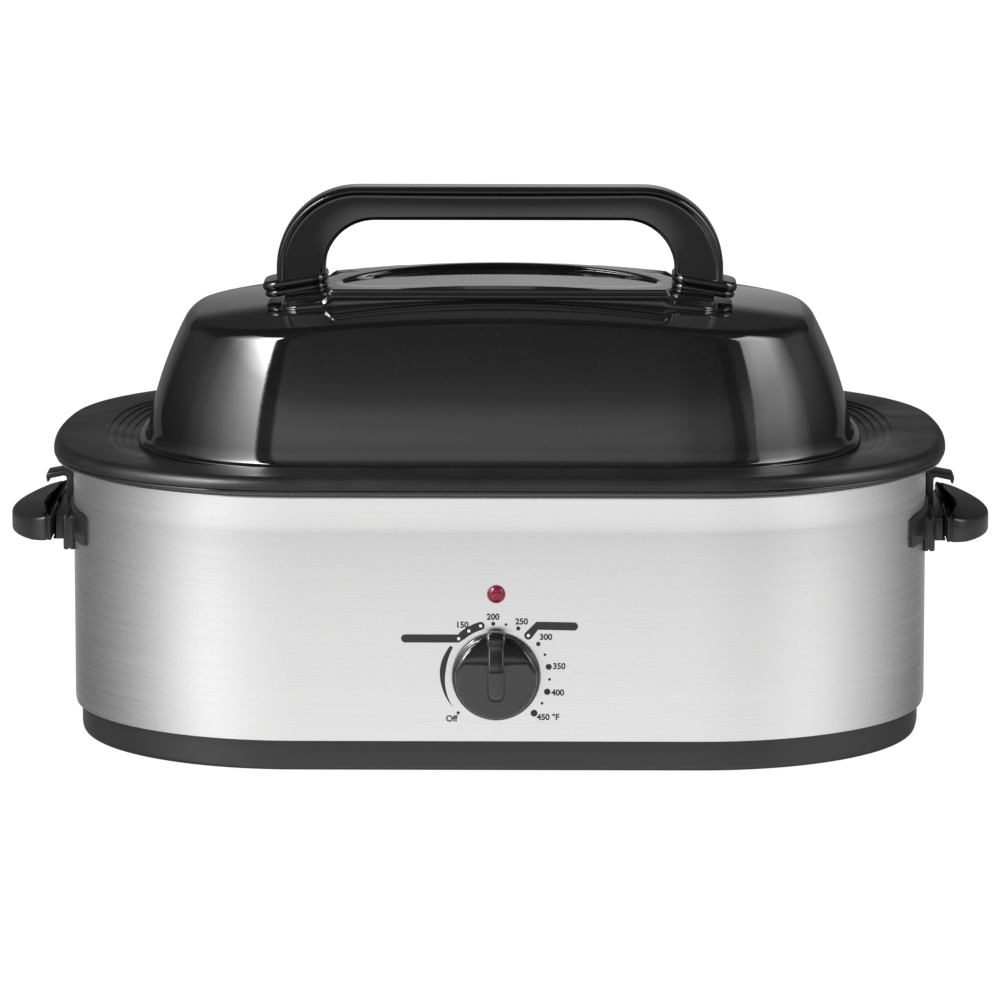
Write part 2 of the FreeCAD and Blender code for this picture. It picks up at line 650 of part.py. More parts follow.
def make_terminal_screws():
    screw = cap_screw(1.9, 6.5, 3.4, 1.6)
    turn = Rotation(Vector(1, 0, 0), 180)
    return group("terminal_screws", [placed(screw, spot, turn) for spot in terminal_spots()])


def make_cord_gland():
    """Strain relief outside the back wall: a round flange and a ribbed nose."""
    back = "shell_half_y"
    profile = [("cord_radius", "0.3"), ("gland_radius + 3", "0.3"),
               ("gland_radius + 3", "3.2"), ("gland_radius - 1", "3.2"), ("gland_radius - 1", "5.5"),
               ("gland_radius", "6.5"), ("gland_radius - 1.2", "7.5"), ("gland_radius - 1.4", "9.5"),
               ("gland_radius - 0.4", "10.5"), ("gland_radius - 1.6", "11.5"),
               ("gland_radius - 2.2", "gland_reach"), ("cord_radius", "gland_reach")]
    return turned("cord_gland", profile, "cord_x", back, "cord_height", FACING_BACK)


def make_gland_nut():
    """Nut inside the back wall whose hub passes through it to the gland."""
    profile = [("cord_radius + 0.4", "-9"), ("gland_radius + 1.8", "-9"), ("gland_radius + 2.6", "-8"),
               ("gland_radius + 2.6", "-shell_wall - 0.7"), ("gland_radius - 0.2", "-shell_wall - 0.7"),
               ("gland_radius - 0.2", "0.2"), ("cord_radius + 0.4", "0.2")]
    return turned("gland_nut", profile, "cord_x", "shell_half_y", "cord_height", FACING_BACK)


# ---------------------------------------------------------------- controls

def make_thermostat():
    """Thermostat behind the front: a ceramic case with a threaded bush for the spindle."""
    body = new_body("thermostat_body")
    front = "shell_half_y - shell_wall - stat_gap"
    sketch = new_sketch(body, "XZ_Plane", f"{front} - stat_depth")
    rectangle(sketch, "-stat_half_x", "stat_half_x", "knob_height - stat_half_z", "knob_height + stat_half_z")
    feature(body, "Pad", sketch, "stat_depth")
    drilled(body, "XZ_Plane", [("0", "knob_height")], "bush_radius", front,
            "stat_gap + shell_wall + 0.4", "Pad")
    seats = [("stat_screw_x", "knob_height"), ("-stat_screw_x", "knob_height")]
    drilled(body, "XZ_Plane", seats, "3.5", front, "stat_gap - 0.05", "Pad")
    drilled(body, "XZ_Plane", seats, "1.5", f"{front} + 5", "12")
    drilled(body, "XZ_Plane", [("0", "knob_height")], "spindle_radius + spindle_clearance",
            f"{front} + 10", "30")
    return body


def make_thermostat_screws():
    screw = cap_screw(1.45, 9.0, 3.2, 1.4)
    front = -value("shell_half_y") - 0.02
    turn = Rotation(Vector(1, 0, 0), -90)
    return group("thermostat_screws", [placed(screw, Vector(x, front, value("knob_height")), turn)
                                       for x in (-value("stat_screw_x"), value("stat_screw_x"))])


def make_sensing_bulb():
    """Liquid-filled bulb on the well's front wall and the capillary down to the thermostat."""
    wall = -value("liner_half_y + liner_wall + bulb_radius") - 0.1
    height = value("bulb_height")
    length = 2 * value("bulb_half_x")
    end = Vector(value("bulb_end_x"), wall, height)
    bulb = Part.makeCylinder(value("bulb_radius"), length, end, Vector(-1, 0, 0))
    case_y = -value("shell_half_y - shell_wall - stat_gap - stat_depth / 2")
    case_top = value("knob_height + stat_half_z")
    drop = end.x + 14
    route = [end, Vector(drop, wall, height), Vector(drop, wall, case_top + 18),
             Vector(drop, case_y, case_top + 18), Vector(drop, case_y, case_top)]
    capillary = bent_wire(route, 0.9, 6.0)
    return solid("sensing_bulb", bulb.fuse(capillary).removeSplitter())


def make_knob():
    """Round knob with a raised grip bar that points at the dial."""
    body = new_body("control_knob")
    start = "shell_half_y + knob_gap"
    profile = [("0", "0"), ("knob_skirt_radius", "0"), ("knob_skirt_radius", "knob_skirt"),
               ("knob_face_radius", "knob_depth - 1.5"), ("knob_face_radius - 5", "knob_depth - 0.4"),
               ("0", "knob_depth")]
    sketch = new_sketch(body, "XZ_Plane")
    polygon(sketch, profile)
    feature(body, "Revolution", sketch, angle=360.0, axis="V_Axis")
    doc.recompute()
    side = new_sketch(body, "YZ_Plane")
    polygon(side, [("grip_bar_up", "2"), ("grip_bar_up", "knob_skirt + 3"), ("grip_bar_up - 2", "knob_depth"),
                   ("grip_bar_up - 14", "grip_bar_depth - 0.6"), ("0", "grip_bar_depth"),
                   ("-grip_bar_down + 9", "grip_bar_depth - 2"), ("-grip_bar_down", "knob_depth + 2.5"),
                   ("-grip_bar_down", "knob_depth - 3")])
    feature(body, "Pad", side, "grip_bar_width", both=True)
    half = value("grip_bar_width / 2")
    above = value("knob_depth + 2")
    fillet(body, "2.0", lambda p: (abs(abs(p.x) - half) < 0.01 and
                                   (p.z > above or p.y > value("knob_skirt_radius"))))
    hollow = new_sketch(body, "XZ_Plane")
    polygon(hollow, [("bush_radius + 2.5", "-1"), ("knob_skirt_radius - 1.8", "-1"),
                     ("knob_skirt_radius - 1.8", "knob_skirt"), ("knob_face_radius - 3", "knob_depth - 3.5"),
                     ("bush_radius + 2.5", "knob_depth - 3.5")])
    feature(body, "Groove", hollow, angle=360.0, axis="V_Axis")
    bore = new_sketch(body, "XY_Plane", "spindle_front - 1")
    flat_bore(bore, "spindle_radius")
    feature(body, "Pocket", bore, "spindle_front + 5")
    drilled(body, "XY_Plane", [("0", "0")], "bush_radius + 1.2", "1.4", "5")
    body.Placement = Placement(Vector(0, -value(start), value("knob_height")), FACING_FRONT)
    return body


def flat_bore(sketch, radius):
    """Outline of a round spindle with one flat, the flat on its +y side."""
    size = value(radius)
    level = value(f"{radius} - spindle_flat + 0.4")
    reach = math.sqrt(size ** 2 - level ** 2)
    turn = math.atan2(level, reach)
    ring = Part.Circle(Vector(0, 0), Vector(0, 0, 1), size)
    arc = sketch.addGeometry(Part.ArcOfCircle(ring, math.pi - turn, 2 * math.pi + turn), False)
    line = sketch.addGeometry(Part.LineSegment(Vector(reach, level), Vector(-reach, level)), False)
    rule(sketch, "Coincident", arc, 2, line, 1)
    rule(sketch, "Coincident", line, 2, arc, 1)
    rule(sketch, "Coincident", arc, 3, -1, 1)
    rule(sketch, "Horizontal", line)
    rule(sketch, "Radius", arc, size=radius)
    rule(sketch, "DistanceY", -1, 1, line, 1, size=f"{radius} - spindle_flat + 0.4")


def make_spindle():
    """Steel spindle from the thermostat into the knob, flatted where the knob grips it."""
    body = new_body("thermostat_spindle")
    drilled(body, "XY_Plane", [("0", "0")], "spindle_radius", "-spindle_back + 5",
            "spindle_back - 5 + 1.5", "Pad")
    sketch = new_sketch(body, "XY_Plane", "1.5")
    flat_bore(sketch, "spindle_radius")
    feature(body, "Pad", sketch, "spindle_front - 2.5")
    front = -value("shell_half_y + knob_gap")
    body.Placement = Placement(Vector(0, front, value("knob_height")), FACING_FRONT)
    return body


def make_lamp_lens():
    """Red lens of the indicator lamp, snapped through the shell."""
    profile = [("0", "-8"), ("lamp_body_radius", "-8"), ("lamp_body_radius", "0"), ("lamp_radius", "0"),
               ("lamp_radius", "0.8"), ("lamp_radius - 0.7", "1.9"), ("lamp_radius - 2.2", "2.6"),
               ("0", "2.9")]
    return turned("indicator_lens", profile, "0", "-shell_half_y - 0.05", "lamp_height", FACING_FRONT)


def make_lamp_holder():
    """Neon lamp's holder behind the lens, with its sprung collar."""
    profile = [("0", "-lamp_length - 6"), ("2", "-lamp_length - 6"),
               ("lamp_body_radius - 0.6", "-lamp_length"), ("lamp_body_radius - 0.6", "-8.05"),
               ("0", "-8.05")]
    return turned("lamp_holder", profile, "0", "-shell_half_y - 0.05", "lamp_height", FACING_FRONT)


def make_lamp_clip():
    """Push-on collar that holds the lens from behind."""
    profile = [("lamp_body_radius + 0.02", "-shell_wall - 2.4"), ("lamp_radius + 2", "-shell_wall - 1.2"),
               ("lamp_radius + 2", "-shell_wall - 0.7"), ("lamp_body_radius + 0.02", "-shell_wall - 1.4")]
    return turned("lamp_clip", profile, "0", "-shell_half_y - 0.05", "lamp_height", FACING_FRONT)


# ---------------------------------------------------------------- pan and rack

def tapered_tub(body, grow, low, high, kind):
    """Loft between a smaller oval at the floor and the full one at the top."""
    bottom = new_sketch(body, "XY_Plane", low)
    family_oval(bottom, "pan", f"({grow}) - pan_taper")
    top = new_sketch(body, "XY_Plane", high)
    family_oval(top, "pan", grow)
    loft = body.newObject(f"PartDesign::{kind}", f"{body.Name}_tub")
    loft.Profile = bottom
    loft.Sections = [top]
    loft.Ruled = True
    return loft


def make_pan():
    """Deep enamelled pan whose wide brim covers the body and is stepped down round the lid."""
    body = new_body("cooking_pan")
    steps = int(value("seat_steps"))
    seat_floor = "brim_top - seat_steps * seat_step_z"
    prism(body, lambda s: family_oval(s, "shell", "brim_reach"), "skirt_bottom", "brim_top")
    sketch = new_sketch(body, "XY_Plane", "skirt_bottom")
    family_oval(sketch, "shell", "brim_reach - pan_wall")
    feature(body, "Pocket", sketch, "brim_top - pan_wall - skirt_bottom", down=True)
    fillet(body, "brim_fillet - pan_wall", at_height("brim_top - pan_wall"))
    fillet(body, "brim_fillet", at_height("brim_top"))
    prism(body, lambda s: oval(s, "seat_half_x + pan_wall", "seat_half_y + pan_wall",
                               "seat_corner + pan_wall", "seat_end + pan_wall"),
          f"{seat_floor} - pan_wall", "brim_top - pan_wall")
    tapered_tub(body, "pan_wall", "pan_floor - pan_wall", f"{seat_floor} - pan_wall / 2", "AdditiveLoft")
    for step in range(steps):
        prism_cut(body, lambda s: oval(s, f"seat_half_x - {step} * seat_step_x",
                                       f"seat_half_y - {step} * seat_step_y",
                                       f"seat_corner - {step} * seat_step_y",
                                       f"seat_end - {step} * seat_step_x"),
                  f"brim_top - {step + 1} * seat_step_z", f"brim_top + 1")
    tapered_tub(body, "0", "pan_floor", seat_floor, "SubtractiveLoft")
    fillet(body, "pan_fillet - pan_wall", at_height("pan_floor"))
    fillet(body, "pan_fillet", at_height("pan_floor - pan_wall"))
    return body


def make_rack():
    """Chromed wire rack: an oval frame, cross wires on it and two legs under it."""
    height = value("rack_height")
    frame_radius = value("rack_frame_radius")
    wire_radius = value("rack_wire_radius")
    edges, corner_x, width = oval_run("rack", 0.0, height)
    first = Vector(-corner_x, -width, height)
    path = Part.Wire([Part.makeLine(first, Vector(corner_x, -width, height)), *edges])
    frame = tube_along(path, frame_radius, first, Vector(1, 0, 0))
    over = height + frame_radius + wire_radius - 0.5
    small = value("rack_corner")
    wires = []
    count = int(value("rack_wires"))
    for step in range(count):
        x = (step - (count - 1) / 2) * value("rack_pitch")
        if abs(x) <= corner_x:
            half = width
        else:
            half = width - small + math.sqrt(small ** 2 - (abs(x) - corner_x) ** 2)
        wires.append(Part.makeCylinder(wire_radius, 2 * half, Vector(x, -half, over), Vector(0, 1, 0)))
    for y in (-40.0, 40.0):
        half = value("rack_half_x") - 2.5
        under = over - 2 * wire_radius + 0.4
        wires.append(Part.makeCylinder(wire_radius, 2 * half, Vector(-half, y, under), Vector(1, 0, 0)))
    foot = value("pan_floor + rack_leg_radius") + 0.3
    for x in (-value("rack_leg_x"), value("rack_leg_x")):
        span = width - 26
        leg = bent_wire([Vector(x, -width + 0.5, height), Vector(x, -span, foot), Vector(x, span, foot),
                         Vector(x, width - 0.5, height)], value("rack_leg_radius"), value("rack_bend"))
        wires.append(leg)
    return solid("roasting_rack", frame.multiFuse(wires))


def make_rack_grips():
    """Upright lifting loops welded to the rack's ends."""
    length = value("rack_half_x")
    base = value("rack_height + rack_frame_radius") - 0.4
    top = value("rack_grip_top")
    half = value("rack_grip_half_y")
    large = value("rack_end")
    reach = length - large + math.sqrt(large ** 2 - half ** 2)
    loops = []
    for name, side in (("rack_grip_left", -1), ("rack_grip_right", 1)):
        points = [Vector(side * reach, -half, base), Vector(side * reach, -half, top),
                  Vector(side * reach, half, top), Vector(side * reach, half, base)]
        loops.append(solid(name, bent_wire(points, value("rack_leg_radius"), value("rack_bend"))))
    return loops


# ---------------------------------------------------------------- lid

def dome(label, thin):
    """Lid's form, thin smaller all round: a leaning side wall closed by a shallow two-way crown."""
    body = new_body(label)
    levels = [0, 24, 48, 72, 100]
    sections = []
    for rise in levels:
        lean = f"sin(lid_draft) + {rise} / lid_side_radius"
        inset = f"lid_side_radius * (cos(lid_draft) - sqrt(1 - ({lean}) ^ 2)) + {thin}"
        sketch = new_sketch(body, "XY_Plane", f"lid_bottom + {rise}")
        family_oval(sketch, "lid", f"-({inset})")
        sections.append(sketch)
    loft = body.newObject("PartDesign::AdditiveLoft", f"{label}_side")
    loft.Profile = sections[0]
    loft.Sections = sections[1:]
    doc.recompute()
    crown_cut(body, thin)
    doc.recompute()
    fillet(body, f"lid_shoulder - {thin}", lambda p: on_crown(p, thin))
    doc.recompute()
    return body


def arched_roof(sketch, half_x, top, radius, rise):
    """Outline between an arc crowned on the sketch's upright axis and a flat line above it."""
    half, size, height = value(half_x), value(radius), value(top)
    foot = height - size + math.sqrt(size ** 2 - half ** 2)
    roof = height + value(rise)
    turn = math.asin(half / size)
    ring = Part.Circle(Vector(0, height - size), Vector(0, 0, 1), size)
    arc = sketch.addGeometry(Part.ArcOfCircle(ring, math.pi / 2 - turn, math.pi / 2 + turn), False)
    corners = [Vector(-half, foot), Vector(-half, roof), Vector(half, roof), Vector(half, foot)]
    left, flat, right = (sketch.addGeometry(Part.LineSegment(a, b), False)
                         for a, b in zip(corners, corners[1:]))
    for before, after in ((arc, left), (left, flat), (flat, right), (right, arc)):
        rule(sketch, "Coincident", before, 2, after, 1)
    rule(sketch, "Vertical", left)
    rule(sketch, "Vertical", right)
    rule(sketch, "Horizontal", flat)
    rule(sketch, "PointOnObject", arc, 3, -2)
    rule(sketch, "Radius", arc, size=radius)
    rule(sketch, "DistanceY", arc, 3, -1, 1, size=f"({radius}) - ({top})")
    rule(sketch, "DistanceX", -1, 1, right, 1, size=half_x)
    rule(sketch, "DistanceX", left, 1, -1, 1, size=half_x)
    rule(sketch, "DistanceY", -1, 1, flat, 1, size=f"({top}) + ({rise})")


def crown_cut(body, thin):
    """Turn away all above the crown: an arc along the length swung about an axis far below it."""
    sketch = new_sketch(body, "XZ_Plane")
    arched_roof(sketch, "lid_half_x + 20", f"crown_top - {thin}", f"crown_length_radius - {thin}", "60")
    level = "crown_top - crown_width_radius"
    height = value(level)
    axis = sketch.addGeometry(Part.LineSegment(Vector(-50, height), Vector(50, height)), True)
    place(sketch, axis, 1, "-50", level)
    place(sketch, axis, 2, "50", level)
    feature(body, "Groove", sketch, angle=30.0, axis="Axis0", both=True)


def on_crown(point, thin):
    """Whether a point lies on the crown's surface, by its distance from the swinging axis."""
    top = value(f"crown_top - {thin}")
    radius = value(f"crown_length_radius - {thin}")
    axis = value("crown_top - crown_width_radius")
    reach = math.hypot(point.y, point.z - axis)
    arc_height = top - radius + math.sqrt(radius ** 2 - point.x ** 2)
    return abs(reach - (arc_height - axis)) < 0.02 and math.hypot(point.x, point.y) > 60


def plinth(label, thin):
    """Block of the raised rails under the handle, beaded outside and plain within."""
    body = new_body(label)
    low = "crown_top - 30"

    def slab(inset, bottom, top):
        prism(body, lambda s: rounded_rectangle(s, f"plinth_half_x - ({inset})", f"plinth_half_y - ({inset})",
                                                f"plinth_corner - ({inset})"), bottom, top)

    if thin == "0":
        slab("1", low, "plinth_top - 2 * plinth_bead + 0.4")
        slab("0", "plinth_top - 2 * plinth_bead", "plinth_top - plinth_bead")
        slab("plinth_inset", "plinth_top - plinth_bead", "plinth_top")
    else:
        slab(f"plinth_inset + {thin}", low, f"plinth_top - {thin}")
    return body


def crowned_slab(label, half_x, half_y, corner, top, radius, low):
    """Upright slab with a round-cornered plan whose top is crowned along its length."""
    slab = new_body(label)
    prism(slab, lambda s: rounded_rectangle(s, half_x, half_y, corner), low, f"{top} + 5")
    sketch = new_sketch(slab, "XZ_Plane", f"{half_y} + 5")
    arched_roof(sketch, f"{half_x} + 10", top, radius, "20")
    feature(slab, "Pocket", sketch, f"2 * ({half_y}) + 10")
    return slab


def joined(name, kind, parts):
    """Part boolean of whole bodies: MultiFuse or MultiCommon."""
    item = doc.addObject(f"Part::{kind}", name)
    item.Shapes = parts
    return item


def cut(name, base, tool):
    item = doc.addObject("Part::Cut", name)
    item.Base = base
    item.Tool = tool
    return item


def make_lid():
    """Stamped steel lid, and its form before it is hollowed: dome, plinth and dished panel."""
    outer = dome("lid_outside", "0")
    inner = dome("lid_inside", "lid_wall")
    lip = new_body("lid_lip")
    prism(lip, lambda s: family_oval(s, "lid", "lid_lip"), "lid_bottom", "lid_bottom + lid_lip_thick")
    rail = plinth("plinth_outside", "0")
    under = plinth("plinth_inside", "lid_wall")
    floor = "crown_top - 30"
    trough = make_trough()
    panel = crowned_slab("panel", "plinth_half_x", "plinth_half_y - rail_width",
                         "plinth_corner - rail_width", "panel_top", "panel_radius", floor)
    dish = make_dish("dish", "0")
    slot = make_steam_slot()
    skin = joined("lid_skin", "MultiFuse", [outer, lip, rail])
    opened = cut("lid_troughed", skin, trough)
    paneled = joined("lid_paneled", "MultiFuse", [opened, panel])
    dished = cut("lid_dished", paneled, dish)
    cavity = lid_cavity(inner, under)
    hollow = cut("lid_hollow", dished, cavity)
    slotted = cut("lid_slotted", hollow, slot)
    lid = cut("lid_dome", slotted, screw_tunnels("lid_tunnels"))
    lid.Label = "lid_dome"
    return lid, dished


def lid_cavity(inner, under):
    """Space under the sheet: the smaller dome and plinth, kept below the panel and its dish."""
    ceiling = crowned_slab("cavity_ceiling", "lid_half_x", "lid_half_y", "plinth_corner",
                           "panel_top - lid_wall", "panel_radius", "lid_bottom - 5")
    foot = new_body("lid_mouth")
    prism(foot, lambda s: family_oval(s, "lid", "-lid_wall"), "lid_bottom - 5", "lid_bottom")
    room = joined("lid_room", "MultiFuse", [inner, under, foot])
    arched = joined("lid_arched", "MultiCommon", [room, ceiling])
    return cut("lid_cavity", arched, make_dish("dish_under", "lid_wall"))


def make_trough():
    """Box that opens the plinth between its two rails."""
    tool = doc.addObject("Part::Box", "panel_trough")
    tool.setExpression("Length", bound("2 * plinth_half_x"))
    tool.setExpression("Width", bound("2 * (plinth_half_y - rail_width)"))
    tool.Height = 40
    tool.setExpression("Placement.Base.x", bound("-plinth_half_x"))
    tool.setExpression("Placement.Base.y", bound("-(plinth_half_y - rail_width)"))
    tool.setExpression("Placement.Base.z", bound("plinth_top - 12"))
    return tool


def screw_tunnels(name):
    """Clearance holes for the two screws that hold the handle."""
    drills = []
    for side in ("-", ""):
        drill = doc.addObject("Part::Cylinder", f"{name}_drill")
        drill.setExpression("Radius", bound("lid_screw_radius + 0.1"))
        drill.Height = 30
        drill.setExpression("Placement.Base.x", bound(f"{side}lid_screw_x"))
        drill.setExpression("Placement.Base.z", bound("arch_foot - 20"))
        drills.append(drill)
    return joined(name, "MultiFuse", drills)


def make_dish(name, grow):
    """Shallow elliptical dish pressed into the panel, grow larger all round."""
    tool = doc.addObject("Part::Ellipse", f"{name}_outline")
    tool.setExpression("MajorRadius", bound(f"dish_half_x + {grow}"))
    tool.setExpression("MinorRadius", bound(f"dish_half_y + {grow}"))
    tool.setExpression("Placement.Base.z", bound(f"panel_top - dish_depth - {grow}"))
    prism_tool = doc.addObject("Part::Extrusion", f"{name}_tool")
    prism_tool.Base = tool
    prism_tool.Dir = Vector(0, 0, 1)
    prism_tool.LengthFwd = 20
    prism_tool.Solid = True
    return prism_tool


def make_steam_slot():
    tool = doc.addObject("Part::Box", "steam_slot")
    tool.setExpression("Length", bound("steam_slot_length"))
    tool.setExpression("Width", bound("steam_slot_width"))
    tool.Height = 60
    tool.setExpression("Placement.Base.x", bound("steam_slot_x - steam_slot_length / 2"))
    tool.setExpression("Placement.Base.y", bound("-steam_slot_width / 2"))
    tool.setExpression("Placement.Base.z", bound("crown_top - 45"))
    return tool


def make_lid_handle():
    """Arched handle with a rolled outer rim, on two tilted beaded flanges."""
    body = new_body("lid_handle")
    foot = "arch_foot"

    def arch(depth, inner_half, inner_top):
        sketch = new_sketch(body, "XZ_Plane")
        polygon(sketch, [("-arch_half_x", foot), (f"-({inner_half})", foot), (f"-({inner_half})", inner_top),
                         (inner_half, inner_top), (inner_half, foot), ("arch_half_x", foot),
                         ("arch_half_x", "arch_top"), ("-arch_half_x", "arch_top")])
        feature(body, "Pad", sketch, depth, both=True)

    arch("arch_depth", "arch_half_x - arch_leg", "arch_top - arch_bar")
    half, top = value("arch_half_x"), value("arch_top")
    inner_half, inner_top = value("arch_half_x - arch_leg"), value("arch_top - arch_bar")
    fillet(body, "arch_inner_radius", lambda p: (abs(abs(p.x) - inner_half) < 0.01
                                                 and abs(p.z - inner_top) < 0.01))
    arch("arch_rim_depth", "arch_half_x - arch_rim", "arch_top - arch_rim")
    doc.recompute()
    rim_half, rim_top = value("arch_half_x - arch_rim"), value("arch_top - arch_rim")
    fillet(body, "arch_outer_radius", lambda p: abs(abs(p.x) - half) < 0.01 and abs(p.z - top) < 0.01)
    fillet(body, "arch_outer_radius - arch_rim", lambda p: (abs(abs(p.x) - rim_half) < 0.01
                                                            and abs(p.z - rim_top) < 0.01))
    foot_cut(body)
    drilled(body, "XY_Plane", [("lid_screw_x", "0"), ("-lid_screw_x", "0")], "lid_screw_radius",
            "lid_screw_top", "40")
    rim_depth = value("arch_rim_depth / 2")
    fillet(body, "2.2", lambda p: (abs(abs(p.y) - rim_depth) < 0.01 and p.z > value(foot) + 1
                                   and (abs(p.x) > rim_half + 1 or p.z > rim_top + 1 or corner_gap(p) > 2)))
    return body


def foot_cut(body):
    """Trim both legs to the tilted tops of the flanges they stand on."""
    rise = "2 * flange_thick / cos(flange_tilt)"
    for side in ("", "-"):
        sketch = new_sketch(body, "XZ_Plane", "arch_rim_depth")
        slope = [(f"{side}({x})", f"flange_height + {rise} - ({x} - flange_inner_x) * tan(flange_tilt)")
                 for x in ("flange_inner_x - 10", "arch_half_x + 10")]
        polygon(sketch, slope + [(f"{side}(arch_half_x + 10)", "arch_foot - 20"),
                                 (f"{side}(flange_inner_x - 10)", "arch_foot - 20")])
        feature(body, "Pocket", sketch, "2 * arch_rim_depth")


def corner_gap(point):
    """How far a point of the arch's rounded corner lies outside the rim's inner curve."""
    centre_x = value("arch_half_x - arch_outer_radius")
    centre_z = value("arch_top - arch_outer_radius")
    if abs(point.x) < centre_x or point.z < centre_z:
        return 0.0
    inner = value("arch_outer_radius - arch_rim")
    return math.hypot(abs(point.x) - centre_x, point.z - centre_z) - inner


def make_flanges(form):
    """Beaded foot flanges under the handle's legs, tilted and shaped to the lid form they lie on."""
    flanges = []
    for name, side in (("handle_flange_left", -1), ("handle_flange_right", 1)):
        body = new_body(f"{name}_blank")
        for low, high, inset in (("-flange_seat", "flange_thick", "0"),
                                 ("flange_thick", "2 * flange_thick", "flange_bead_inset")):
            prism(body, lambda s: rounded_rectangle(s, f"flange_length / 2 - {inset}",
                                                    f"flange_half_y - {inset}", "flange_corner",
                                                    "flange_length / 2"), low, high)
        seam = at_height("flange_thick")
        top = at_height("2 * flange_thick")
        fillet(body, "flange_bead_inset - 0.15", lambda p: (seam(p) or top(p)) and not inside_flange(p))
        turn = Rotation(Vector(0, 1, 0), value("flange_tilt"))
        if side < 0:
            turn = Rotation(Vector(0, 0, 1), 180).multiply(turn)
        body.Placement = Placement(Vector(side * value("flange_inner_x"), 0, value("flange_height")), turn)
        fitted = cut(f"{name}_fitted", body, form)
        flange = cut(f"{name}_bored", fitted, screw_tunnels(f"{name}_tunnel"))
        flange.Label = name
        flanges.append(flange)
    return flanges


def inside_flange(point):
    """Whether a point is on the seam between a flange's two beads."""
    seam = abs(point.z - value("flange_thick")) < 0.01
    inset = value("flange_bead_inset") - 0.01
    inside_y = abs(point.y) < value("flange_half_y") - inset
    return seam and inside_y and inset < point.x < value("flange_length") - inset


# ---------------------------------------------------------------- side handles

def make_side_handle():
    """Right-hand handle: mounting plate, neck, D-shaped grip and the hook for the lid."""
    body = new_body("handle_right")
    sketch = new_sketch(body, "XY_Plane", "grip_top - grip_thick - 4")
    half_oval(sketch)
    feature(body, "Pad", sketch, "grip_thick + 14")
    top = new_sketch(body, "XZ_Plane", "grip_half_y + 5")
    rise = "(grip_tip_x + 5 - (grip_inner_x - 5)) * tan(grip_slope)"
    polygon(top, [("grip_tip_x + 5", "grip_top - 5 * tan(grip_slope)"), ("grip_tip_x + 5", "grip_top + 30"),
                  ("grip_inner_x - 5", "grip_top + 30"),
                  ("grip_inner_x - 5", f"grip_top - 5 * tan(grip_slope) + {rise}")])
    feature(body, "Pocket", top, "2 * grip_half_y + 10")
    under = new_sketch(body, "XZ_Plane", "grip_half_y + 5")
    low = "grip_top - grip_thick - 5 * tan(grip_under_slope)"
    polygon(under, [("grip_tip_x + 5", low), ("grip_inner_x - 5",
                    f"{low} + (grip_tip_x - grip_inner_x + 10) * tan(grip_under_slope)"),
                    ("grip_inner_x - 5", "grip_top - 30"), ("grip_tip_x + 5", "grip_top - 30")])
    feature(body, "Pocket", under, "2 * grip_half_y + 10")
    doc.recompute()
    inner = value("grip_inner_x") + 0.1
    fillet(body, "3.0", lambda p: p.x > inner)
    prism(body, lambda s: rectangle(s, "plate_outer_x - 1", "grip_inner_x + 1",
                                    "-neck_half_y", "neck_half_y"), "neck_bottom", "neck_top")
    prism(body, lambda s: rectangle(s, "shell_half_x - 12", "plate_outer_x",
                                    "-plate_half_y", "plate_half_y"), "plate_bottom", "plate_top")
    notch = new_sketch(body, "XY_Plane", "hook_top")
    rectangle(notch, "plate_outer_x + 2.2", "notch_outer_x", "-notch_half_y", "notch_half_y")
    feature(body, "Pocket", notch, "60")
    hook = new_sketch(body, "XZ_Plane")
    polygon(hook, [("hook_root_x", "plate_bottom + 6"),
                   ("hook_root_x + hook_stem", "plate_bottom + 6"),
                   ("hook_root_x + hook_stem", "hook_top - hook_arm - 2"),
                   ("hook_root_x + hook_stem + 1.4", "hook_top - hook_arm - 0.6"),
                   ("hook_tip_x - 2.2", "hook_top - hook_arm - 2.4"), ("hook_tip_x - 1.8", "hook_top - 7.4"),
                   ("hook_tip_x - 0.4", "hook_top - 7.4"), ("hook_tip_x", "hook_top - 4.6"),
                   ("hook_tip_x - 1", "hook_top - 2.2"), ("hook_root_x + 4", "hook_top"),
                   ("hook_root_x", "hook_top")])
    feature(body, "Pad", hook, "2 * hook_half_y", both=True)
    back = new_sketch(body, "XY_Plane", "hook_top + 5")
    circle(back, "shell_half_x - shell_end", "0", "shell_end + gasket_thick + 0.1")
    feature(body, "Pocket", back, "80")
    spots = [("side_screw_y", "side_screw_height"), ("-side_screw_y", "side_screw_height")]
    drilled(body, "YZ_Plane", spots, "side_screw_radius", "grip_inner_x + 4", "40")
    return body


